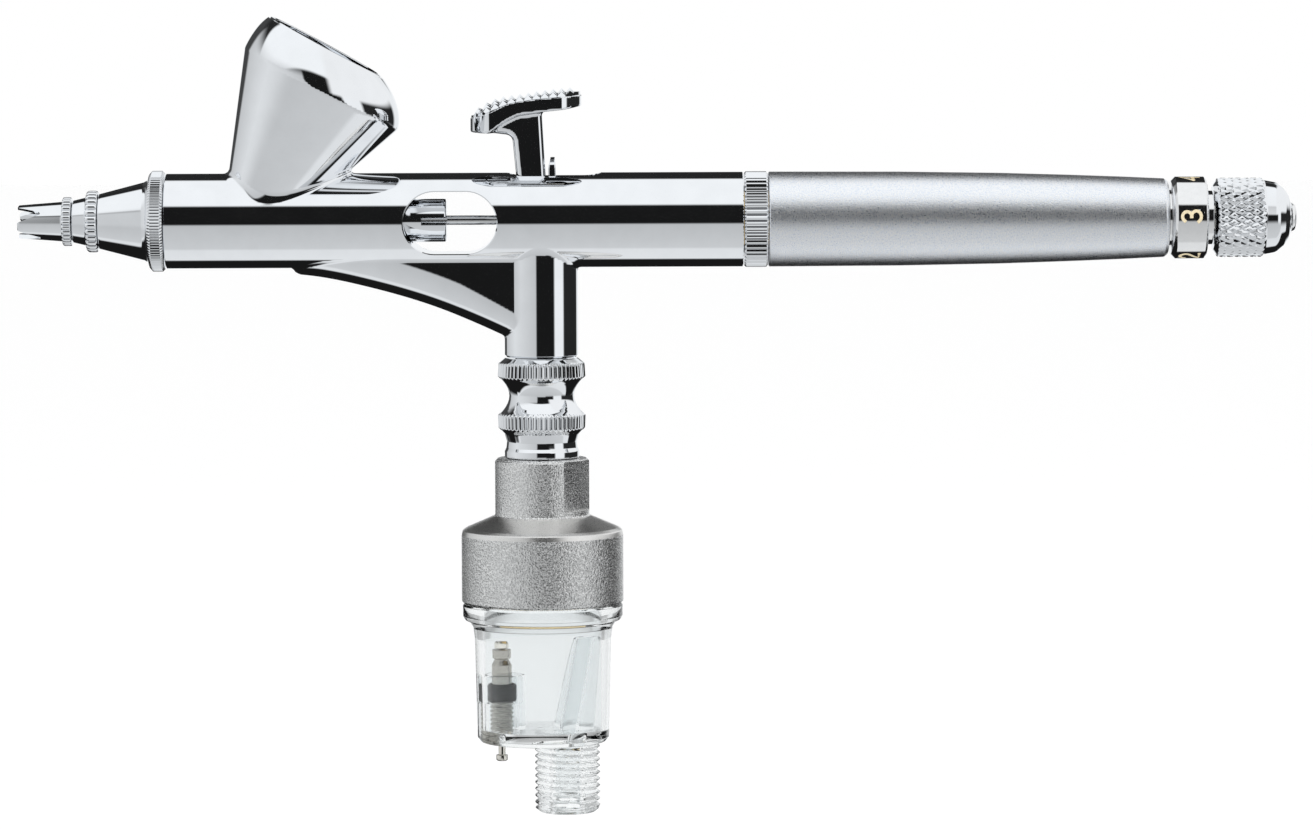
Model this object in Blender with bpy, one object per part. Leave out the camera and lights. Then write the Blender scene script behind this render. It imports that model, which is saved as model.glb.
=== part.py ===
"""Gravity-fed double-action airbrush with a moisture filter on its air inlet.

The origin is where the needle's axis crosses the air valve's vertical axis. +X runs
back along the needle to the adjusting knob, +Z runs up towards the paint cup and -Y is
the side of the small obround window that the packing screw is reached through.
Every size below is in millimetres; MM turns it into Blender's metres.
"""

import math

import bmesh
import bpy
from mathutils import Matrix, Vector

MM = 0.001

# Barrel: a tube along X, bored for the head, the needle, the packing and the levers.
BARREL_R = 6.5
BARREL_FRONT = -51.25
BARREL_REAR = 27.7
HEAD_BORE_R = 5.0
HEAD_BORE_DEPTH = 5.2
PASSAGE_R = 1.1
PACKING_BORE_R = 3.15
PACKING_BORE_FRONT = -26.3
LEVER_BORE_R = 5.0
LEVER_BORE_FRONT = -4.5

# Obround window through the barrel's sides.
WINDOW_X = -12.31
WINDOW_Z = -0.2
WINDOW_HALF_LENGTH = 6.38
WINDOW_R = 4.24

# Slots for the levers in the barrel's top and bottom.
TOP_SLOT = (-4.6, 8.4)
TOP_SLOT_HALF_WIDTH = 2.4
BOTTOM_SLOT = (-3.2, 4.8)
BOTTOM_SLOT_HALF_WIDTH = 2.7

# Paint cup: a cone that leans back, with a skewed shoulder and a flat rim.
CUP_APEX = (-44.87, -9.25)
CUP_LEAN = math.radians(28.7)
CUP_HALF_ANGLE = math.radians(20.8)
CUP_WALL = 0.7
CUP_FOOT_Z = 1.6
CUP_SEAT_GAP = 0.25
CUP_SEAT_FLOOR_GAP = 0.2
# Distances from the apex to the cone's lowest circle, its middle and the seat's top.
CUP_LOWEST = 8.0
CUP_MIDDLE = 22.0
CUP_SEAT_TOP = 26.0
# Distance from the apex, offset of the circle's centre (front is negative), radius.
CUP_TOP_CIRCLES = ((31.2, 0.0, 11.85), (32.6, -0.3, 11.55), (33.8, -0.68, 11.08),
                   (35.0, -1.23, 10.26), (35.9, -1.75, 9.45), (36.59, -2.24, 8.58))

# Paint drop from the cup into the needle's passage.
DROP_X = -39.0
DROP_R = 1.05
DROP_TOP_R = 2.6
DROP_TOP_Z = 3.0

# V notches round the crown cap's front.
NOTCH_COUNT = 4
NOTCH_APEX = -67.77
NOTCH_OPEN = -72.5
NOTCH_SPREAD = 1.45
NOTCH_TURN = math.radians(61.0)

# Valve boss and finger rest under the barrel.
BOSS_R = 5.05
BOSS_TOP = -1.5
BOSS_BEVEL = 0.3
BOSS_BOTTOM = -18.75
BOSS_BORE_R = 3.9
BOSS_BORE_TOP = -9.0
BOSS_NECK_R = 2.9
REST_FRONT = -34.0
REST_FRONT_Z = -7.0
REST_CURVE = 0.0483
REST_POWER = 1.55
REST_HALF_WIDTH = 3.9
REST_TOP = -2.0
REST_STATIONS = 10
SADDLE_GAP = 0.1

# Air valve under the boss.
VALVE_RING_R = 6.02
VALVE_NECK_R = 5.7
VALVE_WAIST_R = 4.47
VALVE_WAIST = (-21.5, -26.7)
VALVE_STROKE_ROOM_R = 2.75
VALVE_GUIDE_R = 1.45
VALVE_CHAMBER_R = 3.3
VALVE_THREAD_R = 4.55
VALVE_BOTTOM = -38.5
PISTON_GROOVE_GAP = 0.25

# Levers. Both turn about Y.
PIVOT_Z = -7.0
LEVER_FOOT_R = 1.2
LEVER_FOOT_HALF_WIDTH = 1.6
LEVER_SLOT_HALF_WIDTH = 1.0
PAD_HALF_WIDTH = 4.45
PAD_END_R = 5.06
PAD_FRONT = -9.58
PAD_REAR = 5.61
AUX_PIVOT = (3.4, -5.4)
AUX_FOOT_R = 0.6
AUX_HALF_WIDTH = 1.6
AUX_TIP_HALF_WIDTH = 1.1
# Top and underside of the finger pad as (x, z) points, front to rear.
PAD_TOP = ((-9.58, 13.75), (-7.03, 14.4), (-4.84, 15.55), (-3.0, 16.0), (-0.8, 16.3),
           (3.28, 16.65), (5.61, 16.95))
PAD_UNDER = ((-9.58, 12.04), (-7.03, 11.9), (-4.84, 13.55), (-3.0, 14.45),
             (-0.8, 14.7), (3.28, 15.12), (5.61, 15.6))
PAD_STATIONS = 18
GUSSET = ((-7.0, 12.0), (-3.3, 11.35), (-3.0, 14.8), (-4.6, 14.2), (-6.4, 13.0))
GUSSET_HALF_WIDTH = 1.8
# Height, front face, rear face and half width of the stem, from the pad to the foot.
STEM = ((14.75, -4.15, 0.25, 2.0), (11.4, -3.83, 0.42, 2.0), (5.9, -3.31, 0.72, 2.0),
        (2.0, -2.9, 0.82, 2.0), (-1.5, -2.4, 0.85, 2.0), (-3.6, -1.2, 1.0, 1.7),
        (-7.0, -0.85, 0.85, 1.6))
STEM_CORNER = 0.7
# Height, front face, rear face and half width of the curved plate, from foot to tip.
AUX_PLATE = ((-5.2, 3.0, 3.8, 1.6), (-3.0, 2.95, 3.8, 1.6), (-1.5, 2.5, 3.3, 1.6),
             (0.0, 1.95, 2.8, 1.6), (3.0, 1.6, 2.4, 1.6), (6.0, 1.2, 2.05, 1.6),
             (8.65, 1.12, 1.98, AUX_TIP_HALF_WIDTH))

# Needle and its carriage.
NEEDLE_R = 0.645
NEEDLE_TIP = -69.4
NEEDLE_TAPER = 9.5
NEEDLE_END = 61.5
CHUCK_R = 1.6
CHUCK_FRONT = 3.1
CHUCK_BORE_R = 0.78
CHUCK_SHOULDER = (15.5, 17.0)
CHUCK_SHOULDER_R = 2.7

# Springs: start, end, radius of the coil's middle, radius of the wire, turns.
NEEDLE_SPRING = (17.15, 42.45, 2.4, 0.3, 12)
VALVE_SPRING = (-33.2, -23.05, 1.9, 0.25, 7)
DRAIN_SPRING = (-70.7, -65.95, 0.83, 0.12, 6)

# Rear end.
CASE_BORE_R = 3.2
CASE_REAR = 44.0
HANDLE_FRONT = 31.17
HANDLE_REAR = 85.83
STOP_TIP = 64.9
STOP_R = 1.9
STOP_THREAD_R = 2.2
KNOB_MIDDLE = 92.3

# Moisture filter.
FILTER_NECK_R = 6.47
FILTER_TOP = -32.7
FILTER_BODY_R = 11.12
FILTER_BODY_BOTTOM = -52.6
FLAT_ACROSS = 11.0
FLAT_Z = (-39.8, -32.9)
FLAT_ANGLE = math.radians(-30.0)
BOWL_BOTTOM = -71.8
BOWL_BORE_R = 8.1
STUB_X = 3.31
STUB_R = 4.5
STUB_BOTTOM = -81.67
INLET_BORE_R = 1.9
DRAIN_X = -5.72
RISER_BOTTOM = (4.0, 0.0, -71.0)
RISER_TOP = (6.1, 0.0, -57.0)
RISER_R = (2.9, 1.9)
RISER_BORE_R = 1.0

# Smooth round pieces take this many sides; small inner ones take fewer.
SIDES = 28
FEW_SIDES = 18
LEAST_SIDES = 12
SADDLE_SIDES = 48
COIL_STEPS_PER_TURN = 9
WIRE_SIDES = 5
SHARP = math.radians(32.0)


# ---------------------------------------------------------------- helpers

def clear_scene():
    for obj in list(bpy.data.objects):
        bpy.data.objects.remove(obj, do_unlink=True)


def material(name, colour, roughness, metallic, alpha=1.0):
    """A plain Principled material, shared by every piece of the same finish."""
    found = bpy.data.materials.get(name)
    if found:
        return found
    made = bpy.data.materials.new(name)
    made.use_nodes = True
    shader = made.node_tree.nodes["Principled BSDF"]
    shader.inputs["Base Color"].default_value = (*colour, 1.0)
    shader.inputs["Roughness"].default_value = roughness
    shader.inputs["Metallic"].default_value = metallic
    shader.inputs["Alpha"].default_value = alpha
    made.diffuse_color = (*colour, alpha)
    return made


def along_x(a, u, v):
    return Vector((a, u, v)) * MM


def along_z(a, u, v):
    return Vector((u, v, a)) * MM


def across_at(x, z):
    """A placing along Y, round an axis through (x, z)."""
    return lambda a, u, v: Vector((u + x, a, v + z)) * MM


def ring_of(bm, place, position, radius, sides, centre=(0.0, 0.0)):
    """One circle of vertices across the axis, or a single vertex on it."""
    if radius == 0:
        return [bm.verts.new(place(position, *centre))]
    ring = []
    for k in range(sides):
        turn = 2 * math.pi * k / sides
        u = centre[0] + radius * math.cos(turn)
        v = centre[1] + radius * math.sin(turn)
        ring.append(bm.verts.new(place(position, u, v)))
    return ring


def join_rings(bm, first, second):
    """A band of faces between two rings, or a fan where one is a single point."""
    count = max(len(first), len(second))
    if count == 1:
        return
    for k in range(count):
        after = (k + 1) % count
        if len(first) == 1:
            bm.faces.new((first[0], second[k], second[after]))
        elif len(second) == 1:
            bm.faces.new((first[k], second[0], first[after]))
        else:
            bm.faces.new((first[k], second[k], second[after], first[after]))


def turned(profile, place=along_x, sides=SIDES, centre=(0.0, 0.0)):
    """A turned solid from (position, radius) points.

    A profile that starts and ends at radius 0 is solid. Any other is a closed loop
    round the section of a tube.
    """
    bm = bmesh.new()
    rings = [ring_of(bm, place, a, r, sides, centre) for a, r in profile]
    for first, second in zip(rings, rings[1:]):
        join_rings(bm, first, second)
    if profile[0][1] > 0:
        join_rings(bm, rings[-1], rings[0])
    return bm


def lofted(sections):
    """A solid through sections that are lists of points, with flat end faces."""
    bm = bmesh.new()
    rings = [[bm.verts.new(Vector(p) * MM) for p in section] for section in sections]
    for first, second in zip(rings, rings[1:]):
        join_rings(bm, first, second)
    bm.faces.new(list(reversed(rings[0])))
    bm.faces.new(rings[-1])
    return bm


def block(low, high):
    """A plain box between two corners."""
    bm = bmesh.new()
    made = bmesh.ops.create_cube(bm, size=1.0)
    size = [(h - l) * MM for l, h in zip(low, high)]
    middle = [(h + l) / 2 * MM for l, h in zip(low, high)]
    bmesh.ops.transform(
        bm, verts=made["verts"],
        matrix=Matrix.Translation(middle) @ Matrix.Diagonal((*size, 1.0)))
    return bm


def obround(x_range, half_width, low, high, place, sides=LEAST_SIDES):
    """A prism with round ends: x_range is its whole length, place sets its direction."""
    sections = []
    for level in (low, high):
        points = []
        for k in range(sides):
            turn = 2 * math.pi * (k + 0.5) / sides
            rear = math.cos(turn) > 0
            middle = x_range[1] - half_width if rear else x_range[0] + half_width
            x = middle + half_width * math.cos(turn)
            points.append(place(x, half_width * math.sin(turn), level))
        sections.append(points)
    return lofted(sections)


def coil(spring, place, centre=(0.0, 0.0)):
    """A compression spring: a round wire on a helix."""
    start, end, radius, wire_r, turns = spring
    steps = turns * COIL_STEPS_PER_TURN
    bm = bmesh.new()
    rings = []
    for k in range(steps + 1):
        part = k / steps
        turn = 2 * math.pi * k / COIL_STEPS_PER_TURN
        middle = start + wire_r + (end - start - 2 * wire_r) * part
        ring = []
        for s in range(WIRE_SIDES):
            angle = 2 * math.pi * s / WIRE_SIDES
            r = radius + wire_r * math.cos(angle)
            a = middle + wire_r * math.sin(angle)
            u = centre[0] + r * math.cos(turn)
            v = centre[1] + r * math.sin(turn)
            ring.append(bm.verts.new(place(a, u, v)))
        rings.append(ring)
    for first, second in zip(rings, rings[1:]):
        join_rings(bm, first, second)
    bm.faces.new(list(reversed(rings[0])))
    bm.faces.new(rings[-1])
    return bm


def finish_mesh(name, bm, origin):
    bmesh.ops.recalc_face_normals(bm, faces=bm.faces)
    bmesh.ops.translate(bm, verts=bm.verts, vec=-Vector(origin) * MM)
    mesh = bpy.data.meshes.new(name)
    bm.to_mesh(mesh)
    bm.free()
    mesh.shade_smooth()
    mesh.set_sharp_from_angle(angle=SHARP)
    obj = bpy.data.objects.new(name, mesh)
    obj.location = Vector(origin) * MM
    bpy.context.collection.objects.link(obj)
    return obj


def piece(name, bm, finish, origin=(0.0, 0.0, 0.0)):
    """One named sub-part. A moving one has its origin on its joint's axis."""
    obj = finish_mesh(name, bm, origin)
    obj.data.materials.append(finish)
    return obj


def tool(name, bm):
    """A cutter or an added shape, which is not part of the object by itself."""
    obj = finish_mesh(name, bm, (0.0, 0.0, 0.0))
    obj.hide_render = True
    obj.display_type = "WIRE"
    return obj


def combine(target, other, operation):
    change = target.modifiers.new(other.name, "BOOLEAN")
    change.operation = operation
    change.solver = "EXACT"
    change.object = other


def cut(target, name, bm):
    combine(target, tool(name, bm), "DIFFERENCE")


def add(target, name, bm):
    combine(target, tool(name, bm), "UNION")


# ---------------------------------------------------------------- finishes

def make_finishes():
    return {
        "chrome": material("chrome", (0.78, 0.79, 0.8), 0.08, 1.0),
        "satin_handle": material("satin_handle", (0.66, 0.68, 0.7), 0.38, 1.0),
        "blasted": material("blasted", (0.55, 0.55, 0.54), 0.6, 1.0),
        "nickel": material("nickel", (0.72, 0.69, 0.62), 0.25, 1.0),
        "steel": material("steel", (0.7, 0.7, 0.7), 0.2, 1.0),
        "brass": material("brass", (0.75, 0.58, 0.28), 0.3, 1.0),
        "rubber": material("rubber", (0.02, 0.02, 0.02), 0.7, 0.0),
        "fluoropolymer": material("fluoropolymer", (0.9, 0.9, 0.88), 0.5, 0.0),
        "felt": material("felt", (0.93, 0.92, 0.88), 0.9, 0.0),
        "clear": material("clear", (0.85, 0.93, 0.93), 0.05, 0.0, 0.35),
    }


# ---------------------------------------------------------------- paint cup

def cup_point(distance, radius, offset, turn):
    """A point on a circle across the cup's axis, at a distance from the apex."""
    forward = offset + radius * math.cos(turn)
    x = CUP_APEX[0] + distance * math.sin(CUP_LEAN) + forward * math.cos(CUP_LEAN)
    z = CUP_APEX[1] + distance * math.cos(CUP_LEAN) - forward * math.sin(CUP_LEAN)
    return (x, radius * math.sin(turn), z)


def cup_circle(distance, radius, offset=0.0, sides=SIDES):
    return [cup_point(distance, radius, offset, 2 * math.pi * k / sides)
            for k in range(sides)]


def cone_radius(distance):
    return distance * math.tan(CUP_HALF_ANGLE)


def cup_solid(inset, top_lift=0.0):
    """The cup's outer form, shrunk by inset and carried on past the rim by top_lift."""
    circles = [cup_circle(CUP_LOWEST, cone_radius(CUP_LOWEST) - inset)]
    circles.append(cup_circle(CUP_MIDDLE, cone_radius(CUP_MIDDLE) - inset))
    for distance, offset, radius in CUP_TOP_CIRCLES:
        circles.append(cup_circle(distance, radius - inset, offset))
    if top_lift:
        distance, offset, radius = CUP_TOP_CIRCLES[-1]
        circles.append(cup_circle(distance + top_lift, radius - inset, offset))
    return lofted(circles)


def make_cup(finish):
    cup = piece("paint_cup", cup_solid(0.0), finish["chrome"])
    cut(cup, "cup_hollow", cup_solid(CUP_WALL, top_lift=2.0))
    cut(cup, "cup_foot_plane", block((-60, -12, -20), (-20, 12, CUP_FOOT_Z)))


# ---------------------------------------------------------------- barrel

def make_barrel(finish):
    barrel = piece(
        "barrel",
        turned([(BARREL_FRONT, 0), (BARREL_FRONT, BARREL_R), (BARREL_REAR, BARREL_R),
                (BARREL_REAR, 0)]),
        finish["chrome"])
    bore = [(BARREL_FRONT - 1, 0), (BARREL_FRONT - 1, HEAD_BORE_R),
            (BARREL_FRONT + HEAD_BORE_DEPTH, HEAD_BORE_R),
            (BARREL_FRONT + HEAD_BORE_DEPTH, PASSAGE_R),
            (PACKING_BORE_FRONT, PASSAGE_R), (PACKING_BORE_FRONT, PACKING_BORE_R),
            (WINDOW_X - 1, PACKING_BORE_R), (WINDOW_X - 1, PASSAGE_R),
            (LEVER_BORE_FRONT, PASSAGE_R), (LEVER_BORE_FRONT, LEVER_BORE_R),
            (BARREL_REAR + 1, LEVER_BORE_R), (BARREL_REAR + 1, 0)]
    cut(barrel, "barrel_bore", turned(bore))
    window = (WINDOW_X - WINDOW_HALF_LENGTH, WINDOW_X + WINDOW_HALF_LENGTH)
    cut(barrel, "barrel_window",
        obround(window, WINDOW_R, -8, 8, lambda x, w, y: (x, y, WINDOW_Z + w), FEW_SIDES))
    cut(barrel, "barrel_top_slot",
        obround(TOP_SLOT, TOP_SLOT_HALF_WIDTH, 1, 8, lambda x, w, z: (x, w, z)))
    cut(barrel, "barrel_bottom_slot",
        obround(BOTTOM_SLOT, BOTTOM_SLOT_HALF_WIDTH, -8, -1, lambda x, w, z: (x, w, z)))
    seat = [cup_circle(distance, cone_radius(distance) + CUP_SEAT_GAP)
            for distance in (CUP_LOWEST, CUP_SEAT_TOP)]
    pocket = tool("cup_seat", lofted(seat))
    floor = block((-60, -12, -20), (-20, 12, CUP_FOOT_Z - CUP_SEAT_FLOOR_GAP))
    combine(pocket, tool("cup_seat_floor", floor), "DIFFERENCE")
    combine(barrel, pocket, "DIFFERENCE")
    drop = [(-0.4, 0), (-0.4, DROP_R), (DROP_TOP_Z, DROP_TOP_R), (DROP_TOP_Z, 0)]
    cut(barrel, "paint_drop", turned(drop, along_z, LEAST_SIDES, (DROP_X, 0.0)))


# ---------------------------------------------------------------- finger rest

def rest_bottom(x):
    """Height of the finger rest's lower edge: a power curve that starts at the barrel."""
    return REST_FRONT_Z - REST_CURVE * (x - REST_FRONT) ** REST_POWER


def rest_section(x):
    """A U across the web: flat sides and a fully round lower edge."""
    bottom = rest_bottom(x)
    points = [(x, REST_HALF_WIDTH, REST_TOP)]
    steps = 10
    for k in range(steps + 1):
        turn = math.pi * k / steps
        y = REST_HALF_WIDTH * math.cos(turn)
        z = bottom + REST_HALF_WIDTH * (1 - math.sin(turn))
        points.append((x, y, min(z, REST_TOP - 0.2)))
    points.append((x, -REST_HALF_WIDTH, REST_TOP))
    return points


def make_finger_rest(finish):
    xs = [REST_FRONT * (1 - k / REST_STATIONS) for k in range(REST_STATIONS + 1)]
    rest = piece("finger_rest", lofted([rest_section(x) for x in xs]), finish["chrome"])
    add(rest, "valve_boss",
        turned([(BOSS_TOP, 0), (BOSS_TOP, BOSS_R), (BOSS_BOTTOM + BOSS_BEVEL, BOSS_R),
                (BOSS_BOTTOM, BOSS_R - BOSS_BEVEL), (BOSS_BOTTOM, 0)], along_z))
    saddle_r = BARREL_R + SADDLE_GAP
    cut(rest, "barrel_saddle",
        turned([(-60, 0), (-60, saddle_r), (30, saddle_r), (30, 0)], sides=SADDLE_SIDES))
    cut(rest, "valve_bore",
        turned([(BOSS_BOTTOM - 1, 0), (BOSS_BOTTOM - 1, BOSS_BORE_R),
                (BOSS_BORE_TOP, BOSS_BORE_R), (BOSS_BORE_TOP, BOSS_NECK_R),
                (-4, BOSS_NECK_R), (-4, 0)], along_z, FEW_SIDES))


# ---------------------------------------------------------------- head

def prong_cutter(angle):
    """A V notch in the crown cap's front, open forwards."""
    outline = [(NOTCH_APEX, 0.0), (NOTCH_OPEN, NOTCH_SPREAD), (NOTCH_OPEN, -NOTCH_SPREAD)]
    radial = Vector((0.0, math.cos(angle), math.sin(angle)))
    across = Vector((0.0, -math.sin(angle), math.cos(angle)))
    return lofted([[Vector((x, 0, 0)) + radial * reach + across * w for x, w in outline]
                   for reach in (0.0, 4.0)])


def make_head(finish):
    crown = piece(
        "crown_cap",
        turned([(-71.5, 1.75), (-71.5, 2.25), (-65.5, 2.74), (-65.35, 3.31),
                (-64.25, 3.31), (-64.1, 2.95), (-64.1, 2.6), (-66.6, 2.6),
                (-67.3, 1.75)], sides=FEW_SIDES),
        finish["chrome"])
    for k in range(NOTCH_COUNT):
        turn = NOTCH_TURN + 2 * math.pi * k / NOTCH_COUNT
        cut(crown, f"crown_notch_{k + 1}", prong_cutter(turn))
    piece("nozzle_cap",
          turned([(-68.0, 0.95), (-68.0, 1.3), (-67.0, 1.7), (-66.4, 2.45),
                  (-64.02, 2.45), (-64.02, 2.87), (-62.15, 3.31), (-62.0, 4.1),
                  (-60.65, 4.1), (-60.55, 3.6), (-60.55, 2.95), (-62.6, 2.95),
                  (-63.7, 2.15), (-65.8, 1.75), (-67.2, 0.95)], sides=FEW_SIDES),
          finish["chrome"])
    piece("head_housing",
          turned([(-62.5, 1.75), (-62.5, 2.85), (-60.45, 2.85), (-60.45, 3.79),
                  (-54.3, 5.38), (-53.7, 5.75), (-53.3, 6.4), (-53.1, 6.89),
                  (-51.5, 6.89), (-51.37, 6.5), (-51.37, 4.75), (-46.3, 4.75),
                  (-46.3, 0.95), (-57.6, 0.95), (-57.6, 1.75)]),
          finish["chrome"])
    piece("fluid_nozzle",
          turned([(-69.0, 0.2), (-69.0, 0.42), (-66.4, 0.8), (-64.6, 1.5),
                  (-63.9, 2.0), (-63.35, 2.0), (-63.35, 1.55), (-58.0, 1.55),
                  (-58.0, 0.8), (-60.0, 0.8)], sides=LEAST_SIDES),
          finish["nickel"])
    piece("nozzle_seal",
          turned([(-63.28, 1.65), (-63.28, 2.0), (-63.17, 2.0), (-63.17, 1.65)],
                 sides=LEAST_SIDES),
          finish["fluoropolymer"])


# ---------------------------------------------------------------- packing

def make_packing(finish):
    piece("needle_packing",
          turned([(-26.1, 0.75), (-26.1, 2.9), (-23.6, 2.9), (-23.6, 0.75)],
                 sides=FEW_SIDES),
          finish["fluoropolymer"])
    screw = piece("packing_screw",
                  turned([(-23.4, 0.85), (-23.4, 2.95), (-13.2, 2.95), (-12.9, 2.65),
                          (-12.9, 0.85)], sides=FEW_SIDES),
                  finish["chrome"])
    cut(screw, "packing_screw_slot", block((-16.3, -4, -0.58), (-12.0, 4, 0.58)))


# ---------------------------------------------------------------- air valve

def make_air_valve(finish):
    waist = []
    steps = 6
    for k in range(steps + 1):
        part = k / steps
        z = VALVE_WAIST[0] + (VALVE_WAIST[1] - VALVE_WAIST[0]) * part
        dip = math.sin(math.pi * part) ** 0.8
        waist.append((z, VALVE_NECK_R + (VALVE_WAIST_R - VALVE_NECK_R) * dip))
    outer = [(-9.4, 3.6), (-18.87, 3.6), (-18.87, 5.0), (-19.6, VALVE_RING_R),
             (-21.44, VALVE_RING_R)]
    outer += waist
    outer += [(-26.73, VALVE_RING_R), (-28.5, VALVE_RING_R), (-29.3, 5.15),
              (-30.4, 4.82), (-31.2, 4.9), (-31.7, 5.13), (-32.58, 5.13),
              (-32.58, VALVE_THREAD_R), (VALVE_BOTTOM, VALVE_THREAD_R)]
    inner = [(VALVE_BOTTOM, VALVE_CHAMBER_R), (-20.3, VALVE_CHAMBER_R),
             (-20.3, VALVE_GUIDE_R), (-13.0, VALVE_GUIDE_R),
             (-13.0, VALVE_STROKE_ROOM_R), (-9.4, VALVE_STROKE_ROOM_R)]
    piece("air_valve_body", turned(outer + inner, along_z), finish["chrome"])

    piston = piece("air_piston",
                   turned([(-6.6, 0), (-6.6, 2.0), (-6.9, 2.3), (-9.2, 2.3),
                           (-9.6, 1.2), (-21.75, 1.2), (-21.75, 2.6), (-22.7, 2.6),
                           (-22.9, 0.9), (-24.2, 0.9), (-24.2, 0)], along_z, FEW_SIDES),
                   finish["brass"])
    groove_r = LEVER_FOOT_R + PISTON_GROOVE_GAP
    groove = [(-4, 0), (-4, groove_r), (4, groove_r), (4, 0)]
    cut(piston, "piston_groove", turned(groove, across_at(0.0, PIVOT_Z), LEAST_SIDES))
    piece("piston_seal",
          turned([(-20.55, 1.3), (-20.4, 1.7), (-20.55, 2.3), (-21.0, 2.5),
                  (-21.5, 2.3), (-21.65, 1.7), (-21.5, 1.3)], along_z, FEW_SIDES),
          finish["rubber"])
    piece("valve_spring", coil(VALVE_SPRING, along_z), finish["steel"])
    guide = piece("valve_guide_screw",
                  turned([(-33.4, 1.2), (-33.4, 3.15), (-36.2, 3.15), (-36.2, 1.2)],
                         along_z, FEW_SIDES),
                  finish["brass"])
    cut(guide, "guide_screw_slot", block((-0.4, -4, -37), (0.4, 4, -35.5)))


# ---------------------------------------------------------------- levers

def height_at(outline, x):
    """Height on an outline of (x, z) points by straight interpolation."""
    for (x0, z0), (x1, z1) in zip(outline, outline[1:]):
        if x <= x1:
            return z0 + (z1 - z0) * (x - x0) / (x1 - x0)
    return outline[-1][1]


def pad_half_width(x):
    """The pad's plan: parallel sides and ends that are arcs of a circle."""
    end = min(x - PAD_FRONT, PAD_REAR - x)
    if end >= PAD_END_R:
        return PAD_HALF_WIDTH
    return min(PAD_HALF_WIDTH, math.sqrt(PAD_END_R ** 2 - (PAD_END_R - end) ** 2))


def pad_solid():
    sections = []
    for k in range(PAD_STATIONS + 1):
        # Stations crowd towards the round ends and stop just short of a point.
        part = 0.5 - 0.5 * math.cos(math.pi * (0.06 + 0.88 * k / PAD_STATIONS))
        x = PAD_FRONT + (PAD_REAR - PAD_FRONT) * part
        w = pad_half_width(x)
        top = height_at(PAD_TOP, x)
        low = height_at(PAD_UNDER, x)
        sections.append([(x, -w, low), (x, w, low), (x, w, top), (x, -w, top)])
    return lofted(sections)


def stem_section(z, front, rear, half_width):
    """A cross-section of the stem with cut corners."""
    soft = STEM_CORNER
    return [(front, -half_width + soft, z), (front + soft, -half_width, z),
            (rear - soft, -half_width, z), (rear, -half_width + soft, z),
            (rear, half_width - soft, z), (rear - soft, half_width, z),
            (front + soft, half_width, z), (front, half_width - soft, z)]


def make_main_lever(finish):
    stem = lofted([stem_section(*section) for section in STEM])
    lever = piece("main_lever", stem, finish["chrome"], (0.0, 0.0, PIVOT_Z))
    add(lever, "lever_pad", pad_solid())
    add(lever, "lever_gusset", lofted([[(x, y, z) for x, z in GUSSET]
                                       for y in (-GUSSET_HALF_WIDTH, GUSSET_HALF_WIDTH)]))
    foot = [(-LEVER_FOOT_HALF_WIDTH, 0), (-LEVER_FOOT_HALF_WIDTH, LEVER_FOOT_R),
            (LEVER_FOOT_HALF_WIDTH, LEVER_FOOT_R), (LEVER_FOOT_HALF_WIDTH, 0)]
    add(lever, "lever_foot", turned(foot, across_at(0.0, PIVOT_Z), LEAST_SIDES))
    cut(lever, "lever_needle_slot",
        obround((-1.5, 4.9), LEVER_SLOT_HALF_WIDTH, -6, 4, lambda z, w, x: (x, w, z)))


def make_auxiliary_lever(finish):
    sections = [[(front, -w, z), (rear, -w, z), (rear, w, z), (front, w, z)]
                for z, front, rear, w in AUX_PLATE]
    lever = piece("auxiliary_lever", lofted(sections), finish["chrome"],
                  (AUX_PIVOT[0], 0.0, AUX_PIVOT[1]))
    foot = [(-AUX_HALF_WIDTH, 0), (-AUX_HALF_WIDTH, AUX_FOOT_R),
            (AUX_HALF_WIDTH, AUX_FOOT_R), (AUX_HALF_WIDTH, 0)]
    add(lever, "auxiliary_foot", turned(foot, across_at(*AUX_PIVOT), LEAST_SIDES))
    cut(lever, "auxiliary_needle_slot",
        obround((-1.9, 1.9), LEVER_SLOT_HALF_WIDTH, 0, 5, lambda z, w, x: (x, w, z)))


# ---------------------------------------------------------------- needle and carriage

def make_needle(finish):
    piece("needle",
          turned([(NEEDLE_TIP, 0), (NEEDLE_TIP + 0.15, 0.08),
                  (NEEDLE_TIP + NEEDLE_TAPER, NEEDLE_R), (NEEDLE_END - 0.3, NEEDLE_R),
                  (NEEDLE_END, NEEDLE_R - 0.3), (NEEDLE_END, 0)], sides=LEAST_SIDES),
          finish["steel"])
    low, high = CHUCK_SHOULDER
    piece("needle_chuck",
          turned([(CHUCK_FRONT, CHUCK_BORE_R), (CHUCK_FRONT, CHUCK_R), (low, CHUCK_R),
                  (low, CHUCK_SHOULDER_R), (high, CHUCK_SHOULDER_R), (high, CHUCK_R),
                  (51.0, CHUCK_R), (53.0, 1.1), (53.0, CHUCK_BORE_R)],
                 sides=FEW_SIDES),
          finish["nickel"])
    piece("chuck_nut",
          turned([(47.8, 1.72), (47.8, 3.0), (48.1, 3.3), (55.4, 3.3), (56.0, 2.7),
                  (56.0, CHUCK_BORE_R), (53.6, CHUCK_BORE_R), (53.3, 1.2),
                  (51.2, 1.72)], sides=FEW_SIDES),
          finish["brass"])
    piece("needle_spring", coil(NEEDLE_SPRING, along_x), finish["steel"])


# ---------------------------------------------------------------- rear end

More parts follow.
